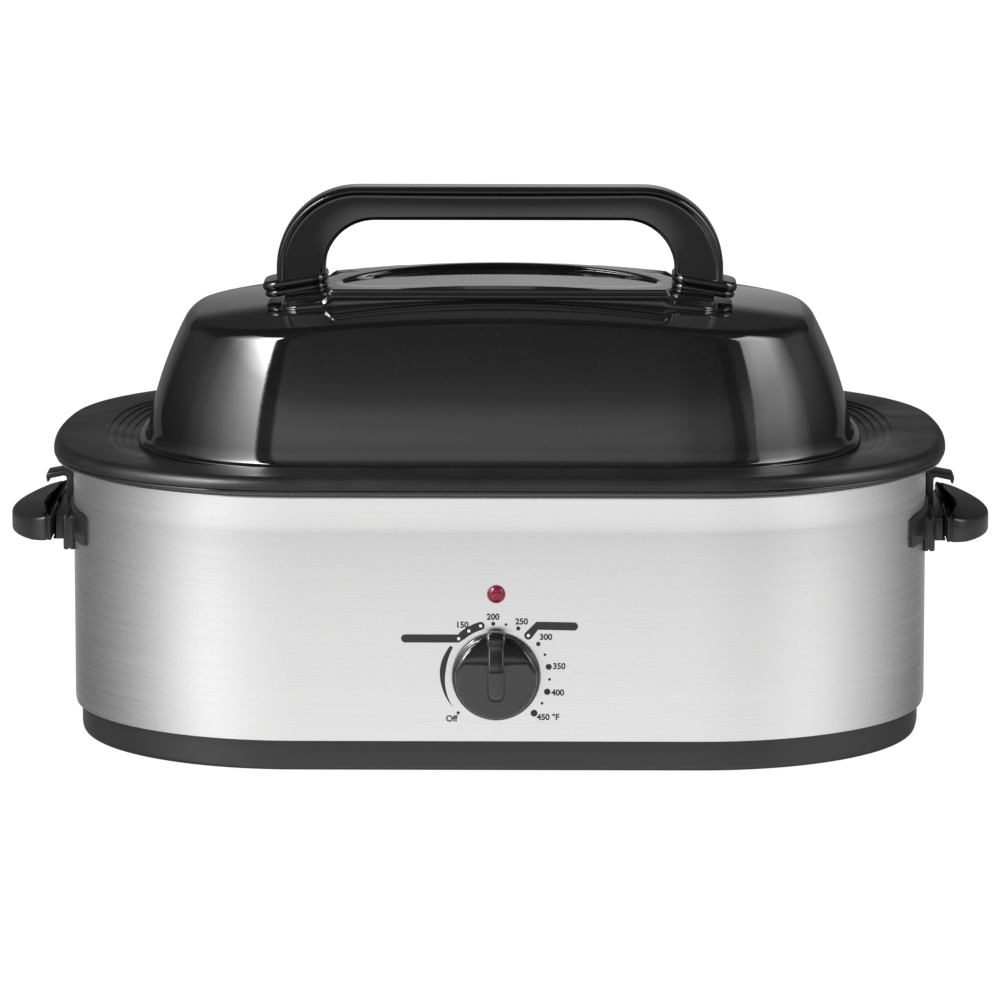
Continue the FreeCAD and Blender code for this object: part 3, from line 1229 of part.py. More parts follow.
def half_oval(sketch):
    """Plan of the grip: a straight inner edge, two round corners and a flatter arc at the tip."""
    inner, tip, half, small = (value(f"grip_{size}") for size in ("inner_x", "tip_x", "half_y", "corner"))
    reach = tip - inner
    corner = half - small
    large = (reach ** 2 + corner ** 2 - small ** 2) / (2 * (reach - small))
    centre = tip - large
    lean = math.atan2(corner, inner - centre)
    right = math.pi / 2

    def arc(x, y, radius, start, stop):
        return Part.ArcOfCircle(Part.Circle(Vector(x, y), Vector(0, 0, 1), radius), start, stop)

    sketch.addGeometry([Part.LineSegment(Vector(inner, half), Vector(inner, -half)),
                        arc(inner, -corner, small, -right, -lean), arc(centre, 0, large, -lean, lean),
                        arc(inner, corner, small, lean, right)], False)
    rule(sketch, "Coincident", 0, 2, 1, 1)
    rule(sketch, "Tangent", 1, 2, 2, 1)
    rule(sketch, "Tangent", 2, 2, 3, 1)
    rule(sketch, "Coincident", 3, 2, 0, 1)
    rule(sketch, "Vertical", 0)
    for curve, point in ((0, 1), (1, 3), (3, 3)):
        rule(sketch, "DistanceX", -1, 1, curve, point, size="grip_inner_x")
    rule(sketch, "Radius", 1, size="grip_corner")
    rule(sketch, "Equal", 1, 3)
    rule(sketch, "PointOnObject", 2, 3, -1)
    rule(sketch, "DistanceY", 1, 3, -1, 1, size="grip_half_y - grip_corner")
    tip_radius = ("((grip_tip_x - grip_inner_x) ^ 2 + (grip_half_y - grip_corner) ^ 2 - grip_corner ^ 2)"
                  " / (2 * (grip_tip_x - grip_inner_x - grip_corner))")
    rule(sketch, "Radius", 2, size=tip_radius)


def make_gasket():
    """Heat-resisting pad between the handle's plate and the steel."""
    body = new_body("handle_gasket_right")
    prism(body, lambda s: rectangle(s, "shell_half_x - 14", "plate_outer_x - 1.6", "-plate_half_y + 1.5",
                                    "plate_half_y - 1.5"), "plate_bottom + 1", "plate_top - 1")
    inner = new_sketch(body, "XY_Plane", "hook_top")
    circle(inner, "shell_half_x - shell_end", "0", "shell_end + 0.05")
    feature(body, "Pocket", inner, "80")
    outer = new_sketch(body, "XY_Plane", "hook_top")
    circle(outer, "shell_half_x - shell_end", "0", "shell_end + gasket_thick")
    circle(outer, "shell_half_x - shell_end", "0", "shell_end + 40")
    feature(body, "Pocket", outer, "80")
    spots = [("side_screw_y", "side_screw_height"), ("-side_screw_y", "side_screw_height")]
    drilled(body, "YZ_Plane", spots, "side_screw_radius + 0.2", "grip_inner_x + 4", "40")
    return body


def make_side_screws(side):
    """Two screws from inside the steel into one side handle."""
    offset = value("side_screw_y")
    bow = math.sqrt(value("shell_end - shell_wall") ** 2 - (offset + 4) ** 2)
    seat = value("shell_half_x - shell_end") + bow - 0.05
    screw = cap_screw(value("side_screw_radius"), 15.0, 3.8, 2.4)
    turn = Rotation(Vector(0, 1, 0), 90 * side)
    height = value("side_screw_height")
    name = "handle_screws_right" if side > 0 else "handle_screws_left"
    return group(name, [placed(screw, Vector(side * seat, y, height), turn) for y in (-offset, offset)])


def mirrored(source, label):
    """Left-hand copy of a right-hand part."""
    item = doc.addObject("Part::Mirroring", label)
    item.Label = label
    item.Source = source
    item.Normal = Vector(1, 0, 0)
    return item


def make_lid_screws():
    """Screws from under the lid into the handle's legs."""
    height = lid_underside(value("lid_screw_x")) - 1.0
    screw = cap_screw(value("lid_screw_radius"), value("lid_screw_top") - height, 4.4, 2.6)
    spots = [Vector(side * value("lid_screw_x"), 0, height) for side in (-1, 1)]
    return group("lid_handle_screws", [placed(screw, spot) for spot in spots])


def make_lid_washers():
    ring = Part.makeCylinder(7, 0.9).cut(Part.makeCylinder(value("lid_screw_radius") + 0.2, 0.9))
    height = lid_underside(value("lid_screw_x")) - 0.95
    return group("lid_screw_washers", [placed(ring, Vector(side * value("lid_screw_x"), 0, height))
                                       for side in (-1, 1)])


def lid_underside(x):
    """Height of the cavity's ceiling over a point of the panel's long axis."""
    radius = value("panel_radius")
    top = value("panel_top - lid_wall")
    reach = x + 7
    return top - radius + math.sqrt(radius ** 2 - reach ** 2)


# ---------------------------------------------------------------- build, check and write

def build():
    parts = [make_shell("shell_front", 1), make_shell("shell_rear", -1),
             make_base_tray(), make_base_screws(), *make_feet(),
             make_liner_standoffs(), make_standoff_screws(), make_ring(), make_liner(), make_blanket(),
             make_element(), make_element_terminals(), make_element_clips(),
             make_terminal_block(), make_terminal_screws(), make_cord_gland(), make_gland_nut(),
             make_thermostat(), make_thermostat_screws(), make_sensing_bulb(),
             make_lamp_lens(), make_lamp_holder(), make_lamp_clip(),
             make_knob(), make_spindle(), make_pan(), make_rack(), *make_rack_grips()]
    lid, form = make_lid()
    parts += [lid, make_lid_handle(), *make_flanges(form), make_lid_screws(), make_lid_washers()]
    handle = make_side_handle()
    gasket = make_gasket()
    parts += [handle, mirrored(handle, "handle_left"), gasket, mirrored(gasket, "handle_gasket_left"),
              make_side_screws(1), make_side_screws(-1)]
    return parts


def check_and_write(parts):
    doc.recompute()
    bad = [item.Name for item in doc.Objects if {"Invalid", "Error"} & set(item.State)]
    bad += [item.Label for item in parts if item.Shape.isNull() or not item.Shape.isValid()]
    if bad:
        raise RuntimeError(f"failed: {bad}")
    os.makedirs("parts", exist_ok=True)
    for item in parts:
        item.Shape.exportStep(f"parts/{item.Label}.step")
        box = item.Shape.BoundBox
        print(f"{item.Label:24s} solids {len(item.Shape.Solids)} volume {item.Shape.Volume:10.0f} "
              f"x {box.XMin:.1f} {box.XMax:.1f} y {box.YMin:.1f} {box.YMax:.1f} "
              f"z {box.ZMin:.1f} {box.ZMax:.1f}")


check_and_write(build())
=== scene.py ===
import math
import bmesh
import bpy
from mathutils import Euler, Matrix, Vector


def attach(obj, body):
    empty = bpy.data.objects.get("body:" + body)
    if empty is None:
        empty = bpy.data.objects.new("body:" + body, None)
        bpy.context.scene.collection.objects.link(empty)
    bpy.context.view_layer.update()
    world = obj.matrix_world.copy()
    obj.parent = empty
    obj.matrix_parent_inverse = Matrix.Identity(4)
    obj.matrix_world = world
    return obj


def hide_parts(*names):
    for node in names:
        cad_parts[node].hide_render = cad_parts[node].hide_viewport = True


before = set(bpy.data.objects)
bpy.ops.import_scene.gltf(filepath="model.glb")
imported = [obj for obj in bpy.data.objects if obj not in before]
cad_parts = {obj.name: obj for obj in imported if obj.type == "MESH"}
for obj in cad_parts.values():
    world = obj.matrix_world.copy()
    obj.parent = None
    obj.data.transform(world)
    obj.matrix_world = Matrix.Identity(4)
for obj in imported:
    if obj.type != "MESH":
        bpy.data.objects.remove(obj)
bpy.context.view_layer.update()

# Sizes are in millimetres until a mesh is made. x runs to the right, y to the back and z up from the table.
# Plan outlines are ovals, each given by half length, half width, corner radius and end radius.
MM = 0.001
BODY_OVAL = (265.4, 186.0, 141.0, 490.0)
SEAT_OVAL = (244.0, 158.0, 110.0, 420.0)
TUB_OVAL = (210.0, 141.0, 100.0, 400.0)
LID_OVAL = (220.0, 149.0, 108.0, 420.0)
RACK_OVAL = (186.0, 116.0, 78.0, 380.0)
SIDE_STEPS, CORNER_STEPS, END_STEPS = 10, 26, 18
KNOB_CENTRE = Vector((0.0, -186.8, 63.0))
DIAL_CENTRE = Vector((0.0, -186.0, 63.0))
LAMP_CENTRE = Vector((0.0, -186.0, 113.0))

# Brightness of the studio, as (degrees, level) pairs. Bearings are 0 at the front and grow to the right;
# heights are above the horizon.
FLOOR_BY_BEARING = [
    (-180, 0.5), (-165, 0.3), (-150, 0.12), (-138, 0.08), (-120, 0.13), (-104, 0.23), (-87, 0.42),
    (-72, 0.74), (-60, 1.08), (-50, 1.42), (-43, 1.48), (-36, 1.24), (-26, 1.13), (0, 1.1), (28, 0.98),
    (40, 1.04), (56, 1.22), (66, 1.14), (72, 1.0), (87, 0.73), (104, 0.49), (120, 0.27), (138, 0.13),
    (150, 0.12), (165, 0.3), (180, 0.5)]
ROOM_BY_BEARING = [
    (-180, 0.02), (-150, 0.02), (-138, 0.08), (-120, 0.12), (-104, 0.2), (-87, 0.35), (-72, 0.45),
    (-56, 0.5), (-45, 0.3), (-42, 0.16), (-34, 0.16), (-31, 0.92), (-3, 0.92), (0, 0.78), (4, 0.62),
    (12, 0.5), (30, 0.45), (38, 0.35), (41, 0.15), (48, 0.15), (52, 0.5), (72, 0.6), (87, 0.55),
    (104, 0.4), (120, 0.27), (138, 0.13), (150, 0.02), (180, 0.02)]
ROOM_BY_HEIGHT = [(-90, 0.2), (1, 0.2), (6, 0.38), (11, 0.66), (14, 0.86), (18, 1.0), (24, 0.85),
                  (30, 0.42), (37, 0.25), (48, 0.15), (70, 0.12), (90, 0.16)]
BACK_BY_BEARING = [(-180, 0.5), (-177, 0.38), (-175, 0.2), (-169, 0.1), (-150, 0.1), (-140, 0.0),
                   (140, 0.0), (150, 0.1), (169, 0.1), (175, 0.2), (177, 0.38), (180, 0.5)]
BACK_BY_HEIGHT = [(-90, 0.75), (9.2, 0.75), (10.4, 0.3), (11.6, 0.05), (90, 0.05)]
LEFT_BY_BEARING = [(-180, 0.0), (-107, 0.0), (-90, 0.05), (-74, 0.21), (-60, 0.5), (-50, 0.76), (-43, 1.0),
                   (-42.5, 0.5), (-42, 0.0), (180, 0.0)]
LEFT_BY_HEIGHT = [(-90, 0.0), (-1, 0.0), (0, 0.1), (9, 0.14), (17, 0.18), (24, 0.26), (31, 0.4), (36, 0.8),
                  (41, 1.4), (56, 1.5), (58, 0.0), (90, 0.0)]
RIGHT_BY_BEARING = [(-180, 0.0), (51, 0.0), (52, 0.3), (61, 0.45), (80, 0.55), (102, 0.0), (180, 0.0)]
RIGHT_BY_HEIGHT = [(-90, 0.0), (-1, 0.0), (0, 0.1), (12, 0.19), (24, 0.38), (33, 0.85), (40, 1.0),
                   (54, 1.0), (57, 0.0), (90, 0.0)]
# Each light: its levels by bearing and by height, its power, and the degrees by which it leans for each
# degree that it rises.
LIGHTS = [(ROOM_BY_BEARING, ROOM_BY_HEIGHT, 1.3, 0.0), (BACK_BY_BEARING, BACK_BY_HEIGHT, 1.3, 0.0),
          (LEFT_BY_BEARING, LEFT_BY_HEIGHT, 26.0, 0.085), (RIGHT_BY_BEARING, RIGHT_BY_HEIGHT, 11.5, -0.31)]
# Level of the floor by metres from its middle.
FLOOR_FADE = [(0.0, 1.0), (1.1, 1.0), (1.7, 0.12), (4.0, 0.1)]
WHITE = (1, 1, 1, 1)


# ---------------------------------------------------------------- nodes, for shaders and geometry alike

def node(tree, kind, inputs=None, **settings):
    """Node with its settings; each input, by name or place, is another node's output or a value."""
    made = tree.nodes.new(kind)
    for name, setting in settings.items():
        setattr(made, name, setting)
    for key, given in (inputs or {}).items():
        if isinstance(given, bpy.types.NodeSocket):
            tree.links.new(given, made.inputs[key])
        else:
            made.inputs[key].default_value = given
    return made


def figure(tree, operation, *operands):
    """Math on sockets and numbers."""
    return node(tree, "ShaderNodeMath", dict(enumerate(operands)), operation=operation).outputs[0]


def level_along(tree, source, points):
    """Level read off (place, level) points, as source goes from 0 to 1 between the outer places."""
    ramp = node(tree, "ShaderNodeValToRGB", {0: source})
    stops = ramp.color_ramp.elements
    first, last = points[0][0], points[-1][0]
    for place, _ in points[1:-1]:
        stops.new((place - first) / (last - first))
    for stop, (_, level) in zip(stops, points):
        stop.color = (level, level, level, 1)
    return ramp.outputs[0]


def object_place(tree):
    """Place of the shaded point in its object."""
    return node(tree, "ShaderNodeTexCoord").outputs["Object"]


def cloud(tree, place, scale, detail=2.0, roughness=0.5):
    """Cloudy value from 0 to 1."""
    made = node(tree, "ShaderNodeTexNoise",
                {"Vector": place, "Scale": scale, "Detail": detail, "Roughness": roughness})
    return made.outputs["Fac"]


def new_group(name, inputs, outputs):
    """Empty shader group of numbers, from {input: default} and [output], and what it is given."""
    group = bpy.data.node_groups.new(name, "ShaderNodeTree")
    for socket, default in inputs.items():
        made = group.interface.new_socket(socket, in_out="INPUT", socket_type="NodeSocketFloat")
        made.default_value = default
    for socket in outputs:
        group.interface.new_socket(socket, in_out="OUTPUT", socket_type="NodeSocketFloat")
    return group, node(group, "NodeGroupInput").outputs


# ---------------------------------------------------------------- camera, light and floor

def set_camera():
    """Long lens a little above the table, looking at the middle of the front."""
    target = Vector((0.0, 0.0, 0.18))
    around, above, distance = math.radians(0.7), math.radians(9.03), 4.0
    back = Vector((math.sin(around) * math.cos(above), -math.cos(around) * math.cos(above), math.sin(above)))
    lens = bpy.data.cameras.new("studio_camera")
    lens.sensor_width = 36.0
    lens.lens = 230.4
    lens.shift_y = -0.0654
    camera = bpy.data.objects.new("studio_camera", lens)
    camera.location = target + back * distance
    camera.rotation_euler = (-back).to_track_quat("-Z", "Y").to_euler()
    bpy.context.scene.collection.objects.link(camera)
    bpy.context.scene.camera = camera


def make_surround():
    """Share of a full turn at which a direction lies, 0.5 at the front, and the floor's level there."""
    group, given = new_group("studio_surround", {"X": 0.0, "Y": 0.0}, ["Share", "Level"])
    ahead = figure(group, "MULTIPLY", given["Y"], -1.0)
    turn = figure(group, "ARCTAN2", given["X"], ahead)
    share = figure(group, "ADD", figure(group, "DIVIDE", turn, 2 * math.pi), 0.5)
    node(group, "NodeGroupOutput", {"Share": share, "Level": level_along(group, share, FLOOR_BY_BEARING)})
    return group


def light_level(tree, share, rise, bearings, heights, power, lean):
    """One light's level: by its share of a turn, moved on as it rises, times that by height."""
    turn = figure(tree, "ADD", share, figure(tree, "MULTIPLY", rise, lean / 360))
    height = figure(tree, "ADD", figure(tree, "DIVIDE", rise, 180.0), 0.5)
    both = figure(tree, "MULTIPLY", level_along(tree, turn, bearings), level_along(tree, height, heights))
    return figure(tree, "MULTIPLY", both, power)


def set_room():
    """Studio as reflections see it: pale low down in front, dark above, with a tall panel at each side."""
    world = bpy.data.worlds.new("studio")
    world.use_nodes = True
    tree = world.node_tree
    tree.nodes.clear()
    bearing = node(tree, "ShaderNodeTexCoord").outputs["Generated"]
    way = node(tree, "ShaderNodeSeparateXYZ", {0: bearing}).outputs
    surround = node(tree, "ShaderNodeGroup", node_tree=SURROUND)
    for axis in ("X", "Y"):
        tree.links.new(way[axis], surround.inputs[axis])
    rise = figure(tree, "MULTIPLY", figure(tree, "ARCSINE", way["Z"]), 180 / math.pi)
    level = 0.0
    for light in LIGHTS:
        level = figure(tree, "ADD", level, light_level(tree, surround.outputs["Share"], rise, *light))
    room = node(tree, "ShaderNodeBackground", {"Color": WHITE, "Strength": level})
    backdrop = node(tree, "ShaderNodeBackground", {"Color": WHITE})
    seen = node(tree, "ShaderNodeLightPath").outputs["Is Camera Ray"]
    mix = node(tree, "ShaderNodeMixShader", {0: seen, 1: room.outputs[0], 2: backdrop.outputs[0]})
    node(tree, "ShaderNodeOutputWorld", {"Surface": mix.outputs[0]})
    bpy.context.scene.world = world
    bpy.context.scene.view_settings.view_transform = "Standard"


def lay_floor():
    """Evenly lit white floor that, like the room, is dimmer round the sides as reflections see it."""
    reach = 40.0
    corners = [(-reach, -reach, 0), (reach, -reach, 0), (reach, reach, 0), (-reach, reach, 0)]
    floor = mesh_object("floor", corners, [(0, 1, 2, 3)])
    finish = plain_finish("pale_floor", (0.05, 0.05, 0.05), 0.8, emission_color=WHITE)
    tree = finish.node_tree
    toward = node(tree, "ShaderNodeSeparateXYZ", {0: node(tree, "ShaderNodeNewGeometry").outputs["Incoming"]})
    surround = node(tree, "ShaderNodeGroup", node_tree=SURROUND)
    for axis in ("X", "Y"):
        tree.links.new(figure(tree, "MULTIPLY", toward.outputs[axis], -1.0), surround.inputs[axis])
    away = node(tree, "ShaderNodeVectorMath", {0: object_place(tree)}, operation="LENGTH").outputs["Value"]
    fade = level_along(tree, figure(tree, "DIVIDE", away, FLOOR_FADE[-1][0]), FLOOR_FADE)
    lit = figure(tree, "MULTIPLY", surround.outputs["Level"], fade)
    seen = node(tree, "ShaderNodeLightPath").outputs["Is Camera Ray"]
    feed(finish, figure(tree, "MAXIMUM", lit, seen), "Emission Strength")
    floor.data.materials.append(finish)


# ---------------------------------------------------------------- effects shared by the finishes

def make_brushing():
    """Long level scratches, fine and coarse, that run round the body."""
    group, given = new_group("level_brushing", {"Fine": 5200.0, "Coarse": 1500.0, "Along": 9.0},
                             ["Shade", "Height"])
    place = object_place(group)
    layers = []
    for socket, weight in (("Fine", 0.6), ("Coarse", 0.4)):
        stretch = node(group, "ShaderNodeCombineXYZ",
                       {"X": given["Along"], "Y": given["Along"], "Z": given[socket]})
        scaled = node(group, "ShaderNodeVectorMath", {0: place, 1: stretch.outputs[0]}, operation="MULTIPLY")
        layers.append(figure(group, "MULTIPLY", cloud(group, scaled.outputs[0], 1.0, 3.0, 0.6), weight))
    both = figure(group, "ADD", *layers)
    node(group, "NodeGroupOutput", {"Shade": both, "Height": both})
    return group


def make_grain():
    """Fine even grain of a moulding or a sprayed coat."""
    group, given = new_group("fine_grain", {"Scale": 1800.0, "Wander": 30.0}, ["Grain", "Wander"])
    place = object_place(group)
    node(group, "NodeGroupOutput", {"Grain": cloud(group, place, given["Scale"], 3.0),
                                    "Wander": cloud(group, place, given["Wander"], 4.0)})
    return group


def make_flecks():
    """Small pale drops fired into enamel."""
    group, given = new_group("enamel_flecks", {"Scale": 260.0, "Size": 0.16}, ["Mask"])
    place = object_place(group)
    cells = node(group, "ShaderNodeTexVoronoi", {"Vector": place, "Scale": given["Scale"]})
    uneven = figure(group, "MULTIPLY", cloud(group, place, 90.0), 2.0)
    limit = figure(group, "MULTIPLY", given["Size"], uneven)
    node(group, "NodeGroupOutput", {"Mask": figure(group, "LESS_THAN", cells.outputs["Distance"], limit)})
    return group


def make_handling():
    """Faint smears of handling with a few specks of dust."""
    group, given = new_group("handling", {"Smear": 9.0, "Dust": 900.0}, ["Smear", "Dust"])
    place = object_place(group)
    specks = figure(group, "GREATER_THAN", cloud(group, place, given["Dust"], 1.0), 0.74)
    node(group, "NodeGroupOutput", {"Smear": cloud(group, place, given["Smear"], 5.0, 0.65), "Dust": specks})
    return group


SURROUND = make_surround()
BRUSHING = make_brushing()
GRAIN = make_grain()
FLECKS = make_flecks()
HANDLING = make_handling()


# ---------------------------------------------------------------- finishes

def plain_finish(name, colour, rough, metal=0.0, **sockets):
    """Material with one Principled shader; sockets are its other plain values."""
    finish = bpy.data.materials.new(name)
    finish.use_nodes = True
    shader = shader_of(finish)
    shader.inputs["Base Color"].default_value = (*colour, 1)
    shader.inputs["Roughness"].default_value = rough
    shader.inputs["Metallic"].default_value = metal
    for socket, setting in sockets.items():
        shader.inputs[socket.replace("_", " ").title().replace("Ior", "IOR")].default_value = setting
    return finish


def shader_of(finish):
    """The finish's Principled shader."""
    return finish.node_tree.nodes["Principled BSDF"]


def feed(finish, source, socket):
    """Lead a value to a socket of the finish's shader."""
    finish.node_tree.links.new(source, shader_of(finish).inputs[socket])


def effect(finish, group, **settings):
    """Outputs of a shared effect placed in a finish with its own settings."""
    return node(finish.node_tree, "ShaderNodeGroup", settings, node_tree=group).outputs


def span(finish, source, low, high, start=0.3, stop=0.7):
    """source, running from start to stop, carried over to low..high."""
    made = node(finish.node_tree, "ShaderNodeMapRange",
                {"Value": source, "From Min": start, "From Max": stop, "To Min": low, "To Max": high})
    return made.outputs["Result"]


def tint(finish, mask, dark, light):
    """Base colour that goes from dark to light with mask."""
    mix = node(finish.node_tree, "ShaderNodeMix", {"Factor": mask, "A": (*dark, 1), "B": (*light, 1)},
               data_type="RGBA")
    feed(finish, mix.outputs["Result"], "Base Color")


def emboss(finish, height, depth, strength):
    """Bump of a depth in millimetres."""
    bump = node(finish.node_tree, "ShaderNodeBump",
                {"Height": height, "Distance": depth * MM, "Strength": strength})
    feed(finish, bump.outputs["Normal"], "Normal")


def brushed_finish(name, dark, light, rough):
    """Metal brushed on the level, whose highlights spread upwards and downwards."""
    finish = plain_finish(name, light, rough, 1.0, anisotropic=0.75)
    tangent = node(finish.node_tree, "ShaderNodeTangent", direction_type="RADIAL", axis="Z")
    feed(finish, tangent.outputs[0], "Tangent")
    lines = effect(finish, BRUSHING)
    tint(finish, span(finish, lines["Shade"], 0.0, 1.0, 0.35, 0.65), dark, light)
    feed(finish, span(finish, lines["Shade"], rough - 0.07, rough + 0.07, 0.35, 0.65), "Roughness")
    emboss(finish, lines["Height"], 0.02, 0.5)
    return finish


def gloss_finish(name, colour, rough, peel=0.03, peel_scale=260.0):
    """Hard shiny coat with a little orange peel, smears and dust."""
    finish = plain_finish(name, colour, rough, coat_weight=0.4, coat_roughness=0.02)
    marks = effect(finish, HANDLING)
    feed(finish, span(finish, marks["Smear"], rough, rough + 0.06), "Roughness")
    tint(finish, marks["Dust"], colour, [0.02 + channel * 1.5 for channel in colour])
    emboss(finish, effect(finish, GRAIN, Scale=peel_scale)["Grain"], peel, 0.35)
    return finish


def satin_finish(name, colour, rough, scale=1500.0, depth=0.04, metal=0.0):
    """Dull sprayed, moulded or plated surface with a fine grain."""
    finish = plain_finish(name, colour, rough, metal)
    grain = effect(finish, GRAIN, Scale=scale)
    feed(finish, span(finish, grain["Wander"], rough - 0.05, rough + 0.07), "Roughness")
    tint(finish, span(finish, grain["Wander"], 0.0, 1.0), [0.85 * channel for channel in colour],
         [1.15 * channel for channel in colour])
    emboss(finish, grain["Grain"], depth, 0.5)
    return finish


def clear_finish(name, colour, rough, **sockets):
    """Clear or tinted moulding with faint smears and dust."""
    finish = plain_finish(name, colour, rough, **sockets)
    marks = effect(finish, HANDLING)
    feed(finish, span(finish, marks["Smear"], rough, rough + 0.05), "Roughness")
    tint(finish, marks["Dust"], colour, [0.02 + 0.9 * channel for channel in colour])
    return finish


def flecked_finish(name, colour, fleck, rough):
    """Fired enamel with pale flecks."""
    finish = plain_finish(name, colour, rough, coat_weight=0.3, coat_roughness=0.1)
    tint(finish, effect(finish, FLECKS)["Mask"], colour, fleck)
    grain = effect(finish, GRAIN, Scale=350.0)
    feed(finish, span(finish, grain["Wander"], rough, rough + 0.1), "Roughness")
    emboss(finish, grain["Grain"], 0.05, 0.4)
    return finish


BLACK = (0.006, 0.006, 0.0065)
SOFT_BLACK = (0.012, 0.012, 0.0125)
steel_finish = brushed_finish("level_brushed_steel", (0.60, 0.60, 0.598), (0.655, 0.655, 0.652), 0.27)
lid_enamel = gloss_finish("gloss_black_enamel", BLACK, 0.03, 0.05, 300.0)
arch_plastic = gloss_finish("polished_black_plastic", BLACK, 0.045, 0.01)
knob_plastic = gloss_finish("knob_black_plastic", BLACK, 0.09, 0.01)
grip_plastic = satin_finish("satin_black_grip", SOFT_BLACK, 0.3, 2200.0, 0.02)
base_plastic = satin_finish("satin_black_base", SOFT_BLACK, 0.36)
brim_enamel = satin_finish("satin_black_enamel", (0.011, 0.011, 0.0115), 0.34, 2600.0, 0.03)
rim_paint = gloss_finish("black_rim_paint", (0.008, 0.008, 0.009), 0.18)
tub_enamel = flecked_finish("flecked_tub_enamel", (0.012, 0.012, 0.014), (0.3, 0.3, 0.3), 0.16)
rubber_finish = satin_finish("black_rubber", (0.02, 0.02, 0.02), 0.75, 900.0, 0.1)
zinc_finish = satin_finish("zinc_plate", (0.55, 0.55, 0.52), 0.32, 1200.0, 0.02, 1.0)
chrome_finish = satin_finish("bright_plated_wire", (0.72, 0.72, 0.74), 0.12, 700.0, 0.01, 1.0)
copper_finish = satin_finish("drawn_copper", (0.72, 0.36, 0.22), 0.3, 900.0, 0.02, 1.0)
brass_finish = satin_finish("turned_brass", (0.72, 0.52, 0.22), 0.28, 900.0, 0.02, 1.0)
sheath_finish = satin_finish("heat_blued_sheath", (0.16, 0.14, 0.12), 0.5, 700.0, 0.04, 1.0)
ceramic_finish = satin_finish("white_steatite", (0.78, 0.75, 0.68), 0.6, 1400.0, 0.08)
felt_finish = satin_finish("glass_fibre_felt", (0.72, 0.66, 0.5), 0.95, 420.0, 1.0)
glass_finish = clear_finish("lamp_glass", (0.9, 0.9, 0.9), 0.05, transmission_weight=1.0, ior=1.5)
lens_finish = clear_finish("red_lens_plastic", (0.26, 0.006, 0.03), 0.16, transmission_weight=0.35, ior=1.45,
                           coat_weight=0.15, coat_roughness=0.05)
ink_finish = satin_finish("black_print", (0.012, 0.012, 0.012), 0.5, 3000.0, 0.01)
white_ink = satin_finish("white_print", (0.8, 0.8, 0.8), 0.5, 3000.0, 0.01)

CAD_FINISHES = {
    steel_finish: ["shell_front", "shell_rear"],
    base_plastic: ["base_tray", "cord_gland", "gland_nut"],
    zinc_finish: ["base_screws", "liner_standoffs", "standoff_screws", "element_clips", "thermostat_screws",
                  "lamp_clip", "thermostat_spindle", "lid_handle_screws", "lid_screw_washers",
                  "handle_screws_right", "handle_screws_left"],
    rubber_finish: ["foot_front_left", "foot_front_right", "foot_rear_left", "foot_rear_right",
                    "handle_gasket_right", "handle_gasket_left"],
    rim_paint: ["upper_rim_ring"],
    tub_enamel: ["well_liner"],
    brim_enamel: ["cooking_pan"],
    felt_finish: ["insulation_blanket"],
    sheath_finish: ["heating_element"],
    ceramic_finish: ["element_terminals", "terminal_block", "thermostat_body"],
    brass_finish: ["terminal_screws"],
    copper_finish: ["sensing_bulb"],
    lens_finish: ["indicator_lens"],
    glass_finish: ["lamp_holder"],
    knob_plastic: ["control_knob"],
    chrome_finish: ["roasting_rack", "rack_grip_left", "rack_grip_right"],
    lid_enamel: ["lid_dome"],
    arch_plastic: ["lid_handle", "handle_flange_left", "handle_flange_right"],
    grip_plastic: ["handle_right", "handle_left"],
}


def dress_frame():
    """Give every CAD node its finish, those that a piece stands for as well."""
    for finish, names in CAD_FINISHES.items():
        for name in names:
            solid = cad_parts[name]
            if not solid.material_slots:
                solid.data.materials.append(finish)
            for slot in solid.material_slots:
                slot.material = finish


# ---------------------------------------------------------------- outlines and skins

def all_round(quarter):
    """Whole outline, anticlockwise from the front's middle, from its front right quarter."""
    def flip(pairs, sx, sy):
        return [((sx * x, sy * y), (sx * nx, sy * ny)) for (x, y), (nx, ny) in pairs]
    right = quarter + flip(quarter[-2::-1], 1, -1)
    return right + flip(quarter[1:], -1, -1) + flip(quarter[-2:0:-1], -1, 1)


def turn_round(centre, radius, start, stop, steps):
    """Points of an arc with their outward directions, its last point left out."""
    pairs = []
    for step in range(steps):
        turn = start + (stop - start) * step / steps
        way = (math.cos(turn), math.sin(turn))
        pairs.append(((centre[0] + radius * way[0], centre[1] + radius * way[1]), way))
    return pairs


def flat_front(half_x, half_y):
    """Right half of an outline's straight front, its end left out."""
    return [((half_x * step / SIDE_STEPS, -half_y), (0.0, -1.0)) for step in range(SIDE_STEPS)]


def oval(half_x, half_y, corner, end):
    """Oval outline as (point, outward direction) pairs."""
    end_x = half_x - end
    corner_y = half_y - corner
    corner_x = end_x + math.sqrt((end - corner) ** 2 - corner_y ** 2)
    lean = math.atan2(corner_y, corner_x - end_x)
    quarter = flat_front(corner_x, half_y)
    quarter += turn_round((corner_x, -corner_y), corner, -math.pi / 2, -lean, CORNER_STEPS)
    quarter += turn_round((end_x, 0.0), end, -lean, 0.0, END_STEPS) + [((half_x, 0.0), (1.0, 0.0))]
    return all_round(quarter)


def round_box(half_x, half_y, corner):
    """Rectangle with round corners, with as many points as an oval."""
    flat_x, flat_y = half_x - corner, half_y - corner
    quarter = flat_front(flat_x, half_y)
    quarter += turn_round((flat_x, -flat_y), corner, -math.pi / 2, 0.0, CORNER_STEPS)
    quarter += [((half_x, -flat_y * (1 - step / END_STEPS)), (1.0, 0.0)) for step in range(END_STEPS + 1)]
    return all_round(quarter)


